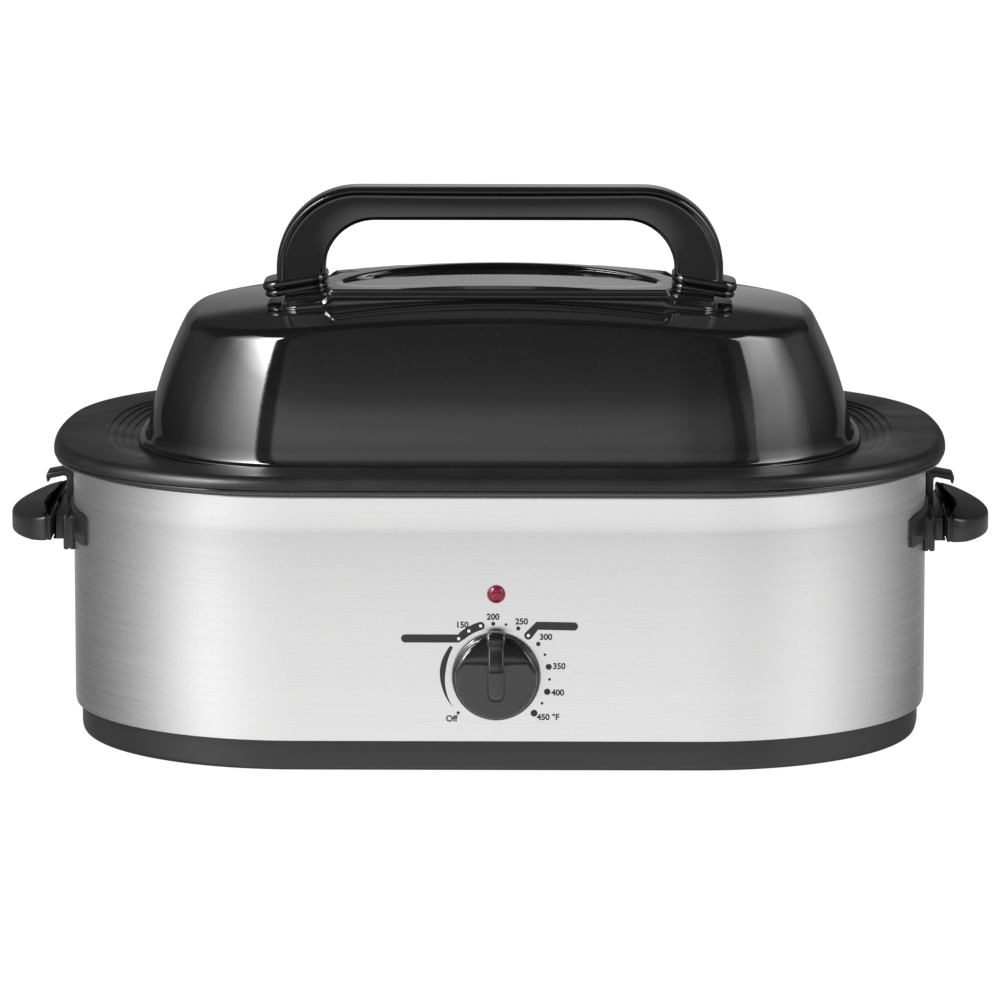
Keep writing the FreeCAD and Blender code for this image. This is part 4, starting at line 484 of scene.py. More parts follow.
def ring(outline, grow, height):
    """Level ring round an outline, grow outside it. height is a number or a function of x and y."""
    points = []
    for (x, y), (nx, ny) in outline:
        spot_x, spot_y = x + nx * grow, y + ny * grow
        level = height(spot_x, spot_y) if callable(height) else height
        points.append(Vector((spot_x, spot_y, level)))
    return points


def rounding(centre_grow, centre_height, radius, start, stop, steps):
    """(grow, height) pairs along an arc of an outline's section, angles in degrees from outward to up."""
    pairs = []
    for step in range(steps + 1):
        turn = math.radians(start + (stop - start) * step / steps)
        pairs.append((centre_grow + radius * math.cos(turn), centre_height + radius * math.sin(turn)))
    return pairs


def skin(name, rings, cap_end=False, cap_start=False, angle=35):
    """Mesh object drawn over rings of points."""
    count = len(rings[0])
    verts = [tuple(point * MM) for loop in rings for point in loop]
    faces = []
    for low in range(0, count * (len(rings) - 1), count):
        high = low + count
        for spot in range(count):
            other = (spot + 1) % count
            faces.append((low + spot, low + other, high + other, high + spot))
    for wanted, first, turn in ((cap_start, 0, -1), (cap_end, count * (len(rings) - 1), 1)):
        if wanted:
            middle = sum((Vector(vert) for vert in verts[first:first + count]), Vector()) / count
            verts.append(tuple(middle))
            for spot in range(count):
                pair = (first + spot, first + (spot + 1) % count)
                faces.append((*pair[::turn], len(verts) - 1))
    return mesh_object(name, verts, faces, angle)


def mesh_object(name, verts, faces, angle=35):
    """Object with a mesh of its own, from points in metres."""
    mesh = bpy.data.meshes.new(name)
    mesh.from_pydata(verts, [], faces)
    mesh.validate()
    smooth(mesh, angle)
    return add_object(name, mesh)


def add_object(name, content):
    """Object in the scene that holds a mesh or a text."""
    added = bpy.data.objects.new(name, content)
    bpy.context.scene.collection.objects.link(added)
    return added


def evaluated_mesh(holder):
    """Plain mesh of what an object's modifiers or its text come to."""
    bpy.context.view_layer.update()
    return bpy.data.meshes.new_from_object(holder.evaluated_get(bpy.context.evaluated_depsgraph_get()))


def smooth(mesh, angle):
    """Smooth shading, left sharp where faces meet at more than an angle in degrees."""
    mesh.polygons.foreach_set("use_smooth", [True] * len(mesh.polygons))
    mesh.set_sharp_from_angle(angle=math.radians(angle))


def join(name, pieces):
    """One object from several."""
    verts, faces = [], []
    for piece in pieces:
        start = len(verts)
        verts += [tuple(vert.co) for vert in piece.data.vertices]
        faces += [tuple(start + index for index in face.vertices) for face in piece.data.polygons]
        bpy.data.objects.remove(piece)
    return mesh_object(name, verts, faces)


def thicken(piece, thickness):
    """Wall of that many millimetres behind the piece's faces."""
    wall = piece.modifiers.new("wall", "SOLIDIFY")
    wall.thickness = thickness * MM
    wall.offset = -1.0


def fit(piece, finish, body, slot, *nodes):
    """Give a piece its finish, the body it moves with, and the nodes it stands for."""
    piece.data.materials.clear()
    piece.data.materials.append(finish)
    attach(piece, body)
    if nodes:
        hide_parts(*nodes)


# ---------------------------------------------------------------- geometry trees

def geometry_tree(name, sizes):
    """Empty geometry tree with a Finish and other inputs, given as {name: kind of socket}."""
    tree = bpy.data.node_groups.new(name, "GeometryNodeTree")
    tree.interface.new_socket("Geometry", in_out="INPUT", socket_type="NodeSocketGeometry")
    for size, kind in {"Finish": "Material", **sizes}.items():
        tree.interface.new_socket(size, in_out="INPUT", socket_type=f"NodeSocket{kind}")
    tree.interface.new_socket("Geometry", in_out="OUTPUT", socket_type="NodeSocketGeometry")
    return tree, node(tree, "NodeGroupInput").outputs


def end_tree(tree, geometry, finish):
    """Realize the result and give it its finish."""
    real = node(tree, "GeometryNodeRealizeInstances", {"Geometry": geometry})
    coated = node(tree, "GeometryNodeSetMaterial", {"Geometry": real.outputs[0], "Material": finish})
    node(tree, "NodeGroupOutput", {0: coated.outputs[0]})
    return tree


def bar_along(tree, path, radius, sides):
    """Round bar with closed ends along a curve."""
    rim = node(tree, "GeometryNodeCurvePrimitiveCircle", {"Radius": radius, "Resolution": sides})
    bar = node(tree, "GeometryNodeCurveToMesh", {"Curve": path.outputs[0], "Profile Curve": rim.outputs[0],
                                                 "Fill Caps": True})
    return bar.outputs[0]


def make_tube_tree():
    """Round bar along the edges it is given."""
    tree, given = geometry_tree("tube_along_path", {"Radius": "Float", "Sides": "Int"})
    path = node(tree, "GeometryNodeMeshToCurve", {"Mesh": given["Geometry"]})
    return end_tree(tree, bar_along(tree, path, given["Radius"], given["Sides"]), given["Finish"])


def make_sweep_tree():
    """Upright section carried round a level outline: section x runs outwards and y downwards."""
    tree, given = geometry_tree("section_round_outline", {"Section": "Object"})
    path = node(tree, "GeometryNodeMeshToCurve", {"Mesh": given["Geometry"]})
    level = node(tree, "GeometryNodeSetCurveNormal", {"Curve": path.outputs[0]}, mode="Z_UP")
    shape = node(tree, "GeometryNodeObjectInfo", {"Object": given["Section"]})
    profile = node(tree, "GeometryNodeMeshToCurve", {"Mesh": shape.outputs["Geometry"]})
    wall = node(tree, "GeometryNodeCurveToMesh",
                {"Curve": level.outputs[0], "Profile Curve": profile.outputs[0]})
    return end_tree(tree, wall.outputs[0], given["Finish"])


def make_cross_wires_tree():
    """Evenly spaced wires, each as long as the round-cornered frame is wide where it lies."""
    sizes = ("Pitch", "Level", "Radius", "Width", "Corner", "Flat")
    tree, given = geometry_tree("cross_wires", {"Count": "Int", **{size: "Float" for size in sizes}})
    first = figure(tree, "MULTIPLY", figure(tree, "SUBTRACT", given["Count"], 1.0),
                   figure(tree, "MULTIPLY", given["Pitch"], -0.5))
    start = node(tree, "ShaderNodeCombineXYZ", {"X": first, "Z": given["Level"]})
    step = node(tree, "ShaderNodeCombineXYZ", {"X": given["Pitch"]})
    row = node(tree, "GeometryNodeMeshLine", {"Count": given["Count"], "Start Location": start.outputs[0],
                                              "Offset": step.outputs[0]})
    place = node(tree, "ShaderNodeSeparateXYZ", {0: node(tree, "GeometryNodeInputPosition").outputs[0]})
    past = figure(tree, "MAXIMUM", figure(tree, "SUBTRACT", figure(tree, "ABSOLUTE", place.outputs["X"]),
                                          given["Flat"]), 0.0)
    bow = figure(tree, "SQRT", figure(tree, "SUBTRACT", figure(tree, "POWER", given["Corner"], 2.0),
                                      figure(tree, "POWER", past, 2.0)))
    half = figure(tree, "ADD", figure(tree, "SUBTRACT", given["Width"], given["Corner"]), bow)
    stretch = node(tree, "ShaderNodeCombineXYZ", {"X": 1.0, "Y": half, "Z": 1.0})
    line = node(tree, "GeometryNodeCurvePrimitiveLine", {"Start": (0, -1, 0), "End": (0, 1, 0)})
    wire = bar_along(tree, line, given["Radius"], 14)
    wires = node(tree, "GeometryNodeInstanceOnPoints",
                 {"Points": row.outputs[0], "Instance": wire, "Scale": stretch.outputs[0]})
    return end_tree(tree, wires.outputs[0], given["Finish"])


def make_screw_tree():
    """Screw with a bevelled head and a cross recess on every point given, all turned one way."""
    sizes = ("Head", "Height", "Shank", "Length")
    tree, given = geometry_tree("screw_set", {**{size: "Float" for size in sizes}, "Turn": "Vector"})

    def times(size, factor):
        return figure(tree, "MULTIPLY", given[size], factor)

    def raised(shape, level):
        shift = node(tree, "ShaderNodeCombineXYZ", {"Z": level})
        return node(tree, "GeometryNodeTransform",
                    {"Geometry": shape.outputs[0], "Translation": shift.outputs[0]}).outputs[0]

    def drum(bottom, top, depth, level):
        return raised(node(tree, "GeometryNodeMeshCone", {"Vertices": 32, "Radius Top": top,
                                                          "Radius Bottom": bottom, "Depth": depth}), level)

    under = times("Height", -1.0)
    rim = times("Height", 0.35)
    head = drum(times("Head", 0.8), given["Head"], rim, under)
    flank = drum(given["Head"], given["Head"], times("Height", 0.65), figure(tree, "ADD", under, rim))
    shank = drum(given["Shank"], times("Shank", 0.6), given["Length"], 0.0)
    recessed = node(tree, "GeometryNodeMeshBoolean", {"Mesh 1": head}, operation="DIFFERENCE")
    for long_side, short_side in (("X", "Y"), ("Y", "X")):
        size = node(tree, "ShaderNodeCombineXYZ", {long_side: times("Head", 1.1), "Z": given["Height"],
                                                   short_side: times("Head", 0.24)})
        blade = node(tree, "GeometryNodeMeshCube", {"Size": size.outputs[0]})
        tree.links.new(raised(blade, under), recessed.inputs["Mesh 2"])
    whole = node(tree, "GeometryNodeJoinGeometry")
    for part in (recessed.outputs[0], flank, shank):
        tree.links.new(part, whole.inputs[0])
    turn = node(tree, "FunctionNodeEulerToRotation", {0: given["Turn"]})
    screws = node(tree, "GeometryNodeInstanceOnPoints",
                  {"Points": given["Geometry"], "Instance": whole.outputs[0], "Rotation": turn.outputs[0]})
    return end_tree(tree, screws.outputs[0], given["Finish"])


TUBE = make_tube_tree()
SWEEP = make_sweep_tree()
CROSS_WIRES = make_cross_wires_tree()
SCREW_SET = make_screw_tree()


def bake(name, tree, points, edges, **values):
    """Plain mesh piece that a tree makes of points in millimetres and the edges between them."""
    source = bpy.data.meshes.new(name)
    source.from_pydata([tuple(Vector(point) * MM) for point in points], edges, [])
    piece = add_object(name, source)
    build = piece.modifiers.new("build", "NODES")
    build.node_group = tree
    for item in tree.interface.items_tree:
        if item.name in values:
            build[item.identifier] = values[item.name]
    mesh = evaluated_mesh(piece)
    piece.modifiers.remove(build)
    piece.data = mesh
    smooth(mesh, 35)
    return piece


def tube(name, path, radius, closed=False):
    """Round plated wire along a path of points."""
    edges = [(spot, spot + 1) for spot in range(len(path) - 1)] + ([(len(path) - 1, 0)] if closed else [])
    return bake(name, TUBE, path, edges, Finish=chrome_finish, Radius=radius * MM, Sides=16)


def sweep_round(name, outline, section, finish):
    """Closed section of (grow, height) pairs carried round an outline."""
    loop = bpy.data.meshes.new("section")
    loop.from_pydata([(grow * MM, -height * MM, 0.0) for grow, height in section], closed_edges(section), [])
    holder = bpy.data.objects.new("section", loop)
    path = [(x, y, 0.0) for (x, y), _ in outline]
    piece = bake(name, SWEEP, path, closed_edges(path), Section=holder, Finish=finish)
    bpy.data.objects.remove(holder)
    return piece


def closed_edges(points):
    """Edges of a closed loop, as pairs of places in its list of points."""
    return [(spot, (spot + 1) % len(points)) for spot in range(len(points))]


# ---------------------------------------------------------------- steel body

def make_wrapper():
    """Sheet-steel wrapper with a fine rolled bead under the rim and a hem turned in at the bottom."""
    section = [(-10, 23.6), (-10, 23), (-0.5, 23), (-0.1, 23.2), (0, 23.8), (0, 60), (0, 110), (0, 150),
               (0, 169.6), (0.22, 170.2), (0.3, 170.8), (0.15, 171.3), (-0.1, 171.4), (-0.1, 174.4),
               (-0.3, 174.8), (-0.6, 174.8), (-0.6, 23.6)]
    piece = sweep_round("steel_wrapper", oval(*BODY_OVAL), section, steel_finish)
    fit(piece, steel_finish, "housing", "brushed_steel_body", "shell_front", "shell_rear")


def make_rim():
    """Black ring with rolled edges that covers the wrapper's top and carries the pan."""
    section = [(-36.8, 175.0), (0.4, 175.0), (0.4, 171.6), (1.4, 171.5), (2.0, 171.9), (2.0, 174.0),
               (2.4, 174.3), (9.6, 174.3), (10.6, 174.6), (11.0, 175.3), (11.0, 176.1), (10.6, 176.9),
               (9.8, 177.2), (-27.2, 177.2), (-27.4, 176.4), (-36.8, 176.3)]
    piece = sweep_round("rim_ring", oval(*BODY_OVAL), section, rim_paint)
    fit(piece, rim_paint, "housing", "black_rim", "upper_rim_ring")


# ---------------------------------------------------------------- rack and screws

RACK_LEVEL, FRAME_WIRE, CROSS_WIRE, LEG_WIRE, WIRE_BEND = 62.0, 2.6, 1.7, 2.0, 9.0


def bent_path(corners):
    """Points along a wire through corners, each bent on an arc."""
    points = [corners[0]]
    for before, corner, after in zip(corners, corners[1:], corners[2:]):
        back, ahead = (before - corner).normalized(), (after - corner).normalized()
        half = back.angle(ahead) / 2
        middle = corner + (back + ahead).normalized() * (WIRE_BEND / math.sin(half))
        start, stop = (corner + way * (WIRE_BEND / math.tan(half)) - middle for way in (back, ahead))
        points += [middle + start.slerp(stop, step / 8) for step in range(9)]
    return points + [corners[-1]]


def make_rack():
    """Plated wire rack: oval frame, cross wires, two stringers, two legs and a lifting loop at each end."""
    half_x, half_y, corner, end = RACK_OVAL
    flat = half_x - end + math.sqrt((end - corner) ** 2 - (half_y - corner) ** 2)
    rim = [Vector((x, y, RACK_LEVEL)) for (x, y), _ in oval(*RACK_OVAL)]
    wires = [tube("rack_frame", rim, FRAME_WIRE, closed=True),
             bake("rack_wires", CROSS_WIRES, [], [], Finish=chrome_finish, Count=11, Pitch=31.0 * MM,
                  Level=65.8 * MM, Radius=CROSS_WIRE * MM, Width=half_y * MM, Corner=corner * MM,
                  Flat=flat * MM)]
    for y in (-40.0, 40.0):
        wires.append(tube("stringer", [Vector((x, y, 62.8)) for x in (-183.4, 183.4)], CROSS_WIRE))
    for x in (-120.0, 120.0):
        leg = [Vector((x, y, z)) for y, z in ((-115.4, RACK_LEVEL), (-90.0, 45.3), (90.0, 45.3),
                                              (115.4, RACK_LEVEL))]
        wires.append(tube("leg", bent_path(leg), LEG_WIRE))
    fit(join("wire_rack", wires), chrome_finish, "rack", "rack_chrome", "roasting_rack")
    for name, side in (("rack_grip_left", -1), ("rack_grip_right", 1)):
        loop = [Vector((side * 182.0, y, z)) for y, z in ((-55, 64.2), (-55, 150), (55, 150), (55, 64.2))]
        fit(tube(f"{name}_loop", bent_path(loop), LEG_WIRE), chrome_finish, "rack", "rack_chrome", name)


def make_screws():
    """Cross-recessed screws, one mesh for each group that shares a direction."""
    down, up, ahead = (0.0, 0.0, 0.0), (math.pi, 0.0, 0.0), (-math.pi / 2, 0.0, 0.0)
    hem = [(x, y, 10.0) for x in (90.0, -90.0) for y in (175.8, -175.8)]
    hem += [(x, 0.0, 10.0) for x in (255.2, -255.2)]
    posts = [(x, y, 4.0) for x in (-120.0, 120.0) for y in (-70.0, 70.0)]
    terminals = [(x, 136.0, 20.6) for x in (56.0, 70.0, 84.0)]
    thermostat = [(x, -186.02, 63.0) for x in (-14.0, 14.0)]
    legs = [(x, 0.0, 270.19) for x in (-124.0, 124.0)]
    # Name, body, places, direction, and sizes: head radius, head height, shank radius and length.
    groups = [("base_screws", "housing", hem, down, (3.2, 2.4, 1.5, 15.1)),
              ("standoff_screws", "housing", posts, down, (3.2, 2.2, 1.5, 11.0)),
              ("terminal_screws", "housing", terminals, up, (3.4, 1.6, 1.9, 6.5)),
              ("thermostat_screws", "housing", thermostat, ahead, (3.2, 1.4, 1.45, 9.0)),
              ("lid_handle_screws", "lid", legs, down, (4.4, 2.6, 2.5, 19.8))]
    for side, word in ((1, "right"), (-1, "left")):
        spots = [(side * 263.19, y, 129.0) for y in (-35.0, 35.0)]
        groups.append((f"handle_screws_{word}", "housing", spots, (0.0, side * math.pi / 2, 0.0),
                       (3.8, 2.4, 2.0, 15.0)))
    for name, body, spots, turn, sizes in groups:
        brass = name == "terminal_screws"
        finish, slot = (brass_finish, "brass_screw") if brass else (zinc_finish, "zinc_screw")
        head, height, shank, length = (size * MM for size in sizes)
        piece = bake(f"{name}_set", SCREW_SET, spots, [], Finish=finish, Head=head, Height=height,
                     Shank=shank, Length=length, Turn=turn)
        fit(piece, finish, body, slot, name)


# ---------------------------------------------------------------- side handles

GRIP_TIP, GRIP_BOTTOM, GRIP_TALL, NECK_FOOT, PAD_LEVEL = 305.3, 121.6, 13.0, 266.8, 135.5
UNDER_SLOPE, OVER_SLOPE = math.tan(math.radians(5.0)), math.tan(math.radians(10.5))


def grown(outline, distance):
    """Closed anticlockwise outline moved outwards along the mitres of its corners."""
    moved = []
    for index, here in enumerate(outline):
        here = Vector(here)
        before, after = Vector(outline[index - 1]), Vector(outline[(index + 1) % len(outline)])
        ways = [(here - before).normalized(), (after - here).normalized()]
        first, second = (Vector((way.y, -way.x)) for way in ways)
        mitre = (first + second).normalized()
        moved.append(here + mitre * (distance / max(0.5, mitre.dot(first))))
    return moved


def block(name, outline, stations, place):
    """Closed bar of one outline: stations are (grow, level), and place turns (u, v, level) into a point."""
    count = len(outline)
    verts = [tuple(place(*spot, level) * MM) for grow, level in stations for spot in grown(outline, grow)]
    faces = [tuple(range(count)), tuple(range(len(verts) - count, len(verts)))]
    for low in range(0, len(verts) - count, count):
        faces += [(low + spot, low + other, low + count + other, low + count + spot)
                  for spot, other in closed_edges(outline)]
    piece = mesh_object(name, verts, faces)
    shape = bmesh.new()
    shape.from_mesh(piece.data)
    bmesh.ops.recalc_face_normals(shape, faces=shape.faces)
    shape.to_mesh(piece.data)
    shape.free()
    return piece


def eased(low, high, radius):
    """Stations of a bar from low to high whose ends are rounded."""
    turns = [math.radians(turn) for turn in (90, 60, 30, 0)]
    ends = [(radius * (math.cos(turn) - 1), radius * (1 - math.sin(turn))) for turn in turns]
    stations = [(grow, low + drop) for grow, drop in ends]
    return stations + [(grow, high - drop) for grow, drop in reversed(ends)]


def grip_outline():
    """Plan of the right grip: bowed tip, round corners, a groove beside each end and the hook's notch."""
    corner = [(275.4, -64.0), (275.6, -66.4), (276.3, -67.5), (277.4, -67.8), (278.1, -67.2), (278.3, -66.2),
              (279.1, -66.2), (279.3, -67.6)]
    lean = math.atan2(52.0, 95.0)
    bow = [spot for spot, _ in turn_round((276.0, -52.0), 16.0, -math.radians(77), -lean, 10)]
    bow += [spot for spot, _ in turn_round((181.0, 0.0), 124.3, -lean, 0.0, 14)]
    notch = [(275.4, 11.5), (282.2, 11.5), (283.0, 10.7), (283.0, -10.7), (282.2, -11.5), (275.4, -11.5)]
    half = [*corner, *bow]
    return half + [(GRIP_TIP, 0.0)] + [(x, -y) for x, y in reversed(half)] + notch


def neck_outline():
    """Section of the neck between plate and grip, with five ribs on its outer face."""
    outline = [(NECK_FOOT, 122.0), (276.0, 122.0)]
    for rib in range(5):
        low = 123.2 + 3 * rib
        outline += [(276.0, low), (275.2, low + 0.2), (275.2, low + 1.4), (276.0, low + 1.6)]
    return outline + [(276.0, 137.0), (NECK_FOOT, 137.0)]


def body_pad(side):
    """Pad that follows the body's end behind the plate, its ends rounded."""
    section = [(-1.0, 0.0), (-0.92, 1.2), (-0.8, 1.8), (0.8, 1.8), (0.92, 1.2), (1.0, 0.0), (0.97, -0.3),
               (-0.97, -0.3)]
    half_tall, even_reach, reach, end_length = 10.5, 92.0, 107.0, 16.0
    edge = [(spot, way) for spot, way in oval(*BODY_OVAL) if spot[0] > 0 and abs(spot[1]) < reach]
    rings = []
    for (x, y), (nx, ny) in sorted(edge, key=lambda pair: pair[0][1]):
        tall = half_tall * math.sqrt(1 - (max(0.0, abs(y) - even_reach) / end_length) ** 2)
        rings.append([Vector((side * (x + nx * size), y + ny * size, PAD_LEVEL + tall * share))
                      for share, size in section[::-side]])
    return skin("pad", rings, cap_start=True, cap_end=True)


def make_side_handles():
    """Grip on a ribbed neck, a plate with a pad that follows the body, and the hook that holds the lid."""
    hook = [(266.2, 123.5), (270.5, 123.5), (270.5, 153.4), (270.9, 154.8), (272.2, 155.3), (281.0, 153.5),
            (281.4, 151.9), (282.0, 151.3), (282.8, 151.5), (283.4, 154.4), (283.2, 155.9), (282.2, 156.8),
            (270.4, 159.0), (267.0, 159.0), (266.2, 158.2)]
    plate = [(262.0, 117.5), (264.6, 117.5), (264.8, 118.3), (265.6, 118.3), (265.8, 117.5), (268.0, 117.5),
             (268.8, 118.3), (268.8, 138.2), (268.0, 139.0), (265.8, 139.0), (265.6, 138.2), (264.8, 138.2),
             (264.6, 139.0), (262.0, 139.0)]
    for side, word in ((1, "right"), (-1, "left")):
        def lying(x, y, level):
            slope = UNDER_SLOPE if level < GRIP_TALL / 2 else OVER_SLOPE
            return Vector((side * x, y, GRIP_BOTTOM + level + (GRIP_TIP - x) * slope))

        def upright(x, z, y):
            return Vector((side * x, y, z))

        pieces = [block("grip", grip_outline(), eased(0.0, GRIP_TALL, 2.2), lying),
                  block("neck", neck_outline(), eased(-50.0, 50.0, 1.0), upright),
                  block("plate", plate, eased(-63.0, 63.0, 1.4), upright),
                  block("hook", hook, eased(-11.5, 11.5, 0.8), upright), body_pad(side)]
        fit(join(f"side_handle_{word}", pieces), grip_plastic, "housing", "handle_plastic", f"handle_{word}")


# ---------------------------------------------------------------- cooking pan

PAN_TOP, TUB_TOP, PAN_FLOOR, FLOOR_ROUND, TUB_TAPER, STEP_DROP = 185.0, 179.0, 43.0, 22.5, 6.0, 0.75


def make_pan():
    """Pan with a broad rounded brim, fine steps down round the lid, and a deep tub."""
    body = oval(*BODY_OVAL)
    tub = oval(*TUB_OVAL)
    section = [(12, 177.4)] + rounding(5, 178, 7, 0, 90, 10)
    rings = [ring(body, grow, height) for grow, height in section]
    for step in range(4):
        seat = oval(*(size - step * shrink for size, shrink in zip(SEAT_OVAL, (5.0, 0.7, 0.7, 5.0))))
        for grow, drop in ((0.5, 0.0), (0.1, 0.05), (0.0, 0.2), (-0.1, 0.6), (-0.35, STEP_DROP)):
            rings.append(ring(seat, grow, PAN_TOP - STEP_DROP * step - drop))
    for grow, height in rounding(3, TUB_TOP, 3, 90, 180, 6):
        rings.append(ring(tub, grow, height))
    for height in (150, 110, 80, PAN_FLOOR + FLOOR_ROUND):
        rings.append(ring(tub, -TUB_TAPER * (TUB_TOP - height) / (TUB_TOP - PAN_FLOOR), height))
    bend = rounding(-TUB_TAPER - FLOOR_ROUND, PAN_FLOOR + FLOOR_ROUND, FLOOR_ROUND, 0, -90, 9)
    for grow, height in bend[1:]:
        rings.append(ring(tub, grow, height))
    for share in (0.7, 0.4, 0.12):
        rings.append([Vector((point.x * share, point.y * share, PAN_FLOOR)) for point in rings[-1]])
    piece = skin("pan_body", rings, cap_end=True)
    thicken(piece, 0.8)
    fit(piece, brim_enamel, "pan", "pan_enamel", "cooking_pan")


# ---------------------------------------------------------------- lid

LID_FOOT, CROWN_TOP, CROWN_LONG, CROWN_CROSS = 182.1, 274.0, 1317.0, 1333.0
SIDE_RADIUS, SIDE_LEAN, SHOULDER = 237.0, math.radians(9.0), 12.0
SIDE_RINGS, SHOULDER_RINGS, CROWN_RINGS, PANEL_RINGS = 14, 12, 8, 6
PANEL_TOP, PANEL_RADIUS = 281.4, 926.0
PLINTH_X, PLINTH_Y, PLINTH_CORNER, PLINTH_EDGE = 134.0, 61.5, 12.0, 6.0
RAIL_END, RAIL_FADE, RAIL_FOOT = 103.0, 4.0, 273.2
OPEN_FROM, OPEN_FADE, OPEN_STEP = 104.0, 7.0, 2.6
DISH_X, DISH_Y, DISH_DEPTH = 98.4, 51.9, 3.7


def crown(x, y):
    """Height of the lid's crown, curved both ways."""
    axis = CROWN_TOP - CROWN_CROSS
    reach = CROWN_TOP - CROWN_LONG + math.sqrt(CROWN_LONG ** 2 - x ** 2) - axis
    return axis + math.sqrt(reach ** 2 - y ** 2)


def panel(x):
    """Height of the crowned panel under the handle."""
    return PANEL_TOP - PANEL_RADIUS + math.sqrt(PANEL_RADIUS ** 2 - x ** 2)


def blend(share):
    """Smooth step from 0 to 1."""
    share = min(1.0, max(0.0, share))
    return share * share * (3 - 2 * share)


def plinth_top(x, y):
    """Top of the plinth: the panel, which at the ends runs down in front and behind to a low step."""
    past_rail = blend((abs(x) - OPEN_FROM) / OPEN_FADE)
    off_middle = blend((abs(y) - 17.0) / 44.0)
    return panel(x) - past_rail * off_middle * (panel(x) - crown(x, y) - OPEN_STEP)


def side_inset(rise):
    """How far the lid's side leans in at a height above its foot."""
    sine = math.sin(SIDE_LEAN) + rise / SIDE_RADIUS
    return SIDE_RADIUS * (math.cos(SIDE_LEAN) - math.sqrt(1 - sine ** 2))


def side_slope(rise):
    """How much further the side leans in for each millimetre that it rises."""
    sine = math.sin(SIDE_LEAN) + rise / SIDE_RADIUS
    return sine / math.sqrt(1 - sine ** 2)


def shoulder_section(point, way):
    """Side, shoulder and crown over one point of the foot's outline, as (inset, height) pairs."""
    def over(inset):
        return crown(point[0] - way[0] * inset, point[1] - way[1] * inset)

    def centre(rise):
        slope = side_slope(rise)
        size = math.hypot(1, slope)
        return side_inset(rise) + SHOULDER / size, LID_FOOT + rise - SHOULDER * slope / size

    def crown_slope(inset):
        return over(inset + 0.5) - over(inset - 0.5)

    def miss(rise):
        inset, height = centre(rise)
        return over(inset) - SHOULDER * math.hypot(1, crown_slope(inset)) - height

    # The side ends where a ball of the shoulder's radius, rolled up it, meets the crown.
    low, high = 20.0, 96.0
    for _ in range(40):
        middle = (low + high) / 2
        if miss(middle) > 0:
            low = middle
        else:
            high = middle
    inset, height = centre(low)
    first = math.atan2(side_slope(low), -1.0)
    last = math.atan2(1.0, -crown_slope(inset))
    rises = [low * step / SIDE_RINGS for step in range(1, SIDE_RINGS)]
    section = [(side_inset(rise), LID_FOOT + rise) for rise in rises]
    for step in range(SHOULDER_RINGS + 1):
        turn = first + (last - first) * step / SHOULDER_RINGS
        section.append((inset + SHOULDER * math.cos(turn), height + SHOULDER * math.sin(turn)))
    return section


def make_lid():
    """One pressed sheet: lip, leaning side, shoulder, crown, beaded plinth, crowned panel and dish."""
    foot = oval(*LID_OVAL)
    lip = [(3.6, 182.2), (4.4, 182.3), (4.6, 182.8), (4.4, 183.3), (3.8, 183.6), (1.6, 183.8), (0.6, 184.3),
           (0.1, 185.2)]
    rings = [ring(foot, grow, height) for grow, height in lip]
    sections = [shoulder_section(point, way) for point, way in foot]
    for spots in zip(*sections):
        rings.append([Vector((x - nx * inset, y - ny * inset, height))
                      for ((x, y), (nx, ny)), (inset, height) in zip(foot, spots)])
    plinth = plinth_outline()
    between = steps_between(rings[-1], ring(plinth, 1.2, 0.0), CROWN_RINGS)
    rings += [[Vector((spot.x, spot.y, crown(spot.x, spot.y))) for spot in loop] for loop in between]
    rings += plinth_rings(plinth) + dish_rings(plinth)
    piece = skin("lid_sheet", rings, cap_end=True, angle=50)
    thicken(piece, 0.9)
    fit(piece, lid_enamel, "lid", "lid_enamel", "lid_dome")


def steps_between(outer, inner, count):
    """Rings on the way from one ring to another, which is the last of them."""
    return [[far.lerp(near, step / count) for far, near in zip(outer, inner)] for step in range(1, count + 1)]


def plinth_outline():
    """Plan of the plinth, with its points drawn together where the rails end."""
    places = (0.0, 20.0, 42.0, 64.0, 84.0, 96.0, 101.5, 104.0, 106.5, 109.0)
    spacing = (PLINTH_X - PLINTH_CORNER) / SIDE_STEPS
    outline = []
    for (x, y), way in round_box(PLINTH_X, PLINTH_Y, PLINTH_CORNER):
        if way[0] == 0.0:
            x = math.copysign(places[round(abs(x) / spacing)], x)
        outline.append(((x, y), way))
    return outline


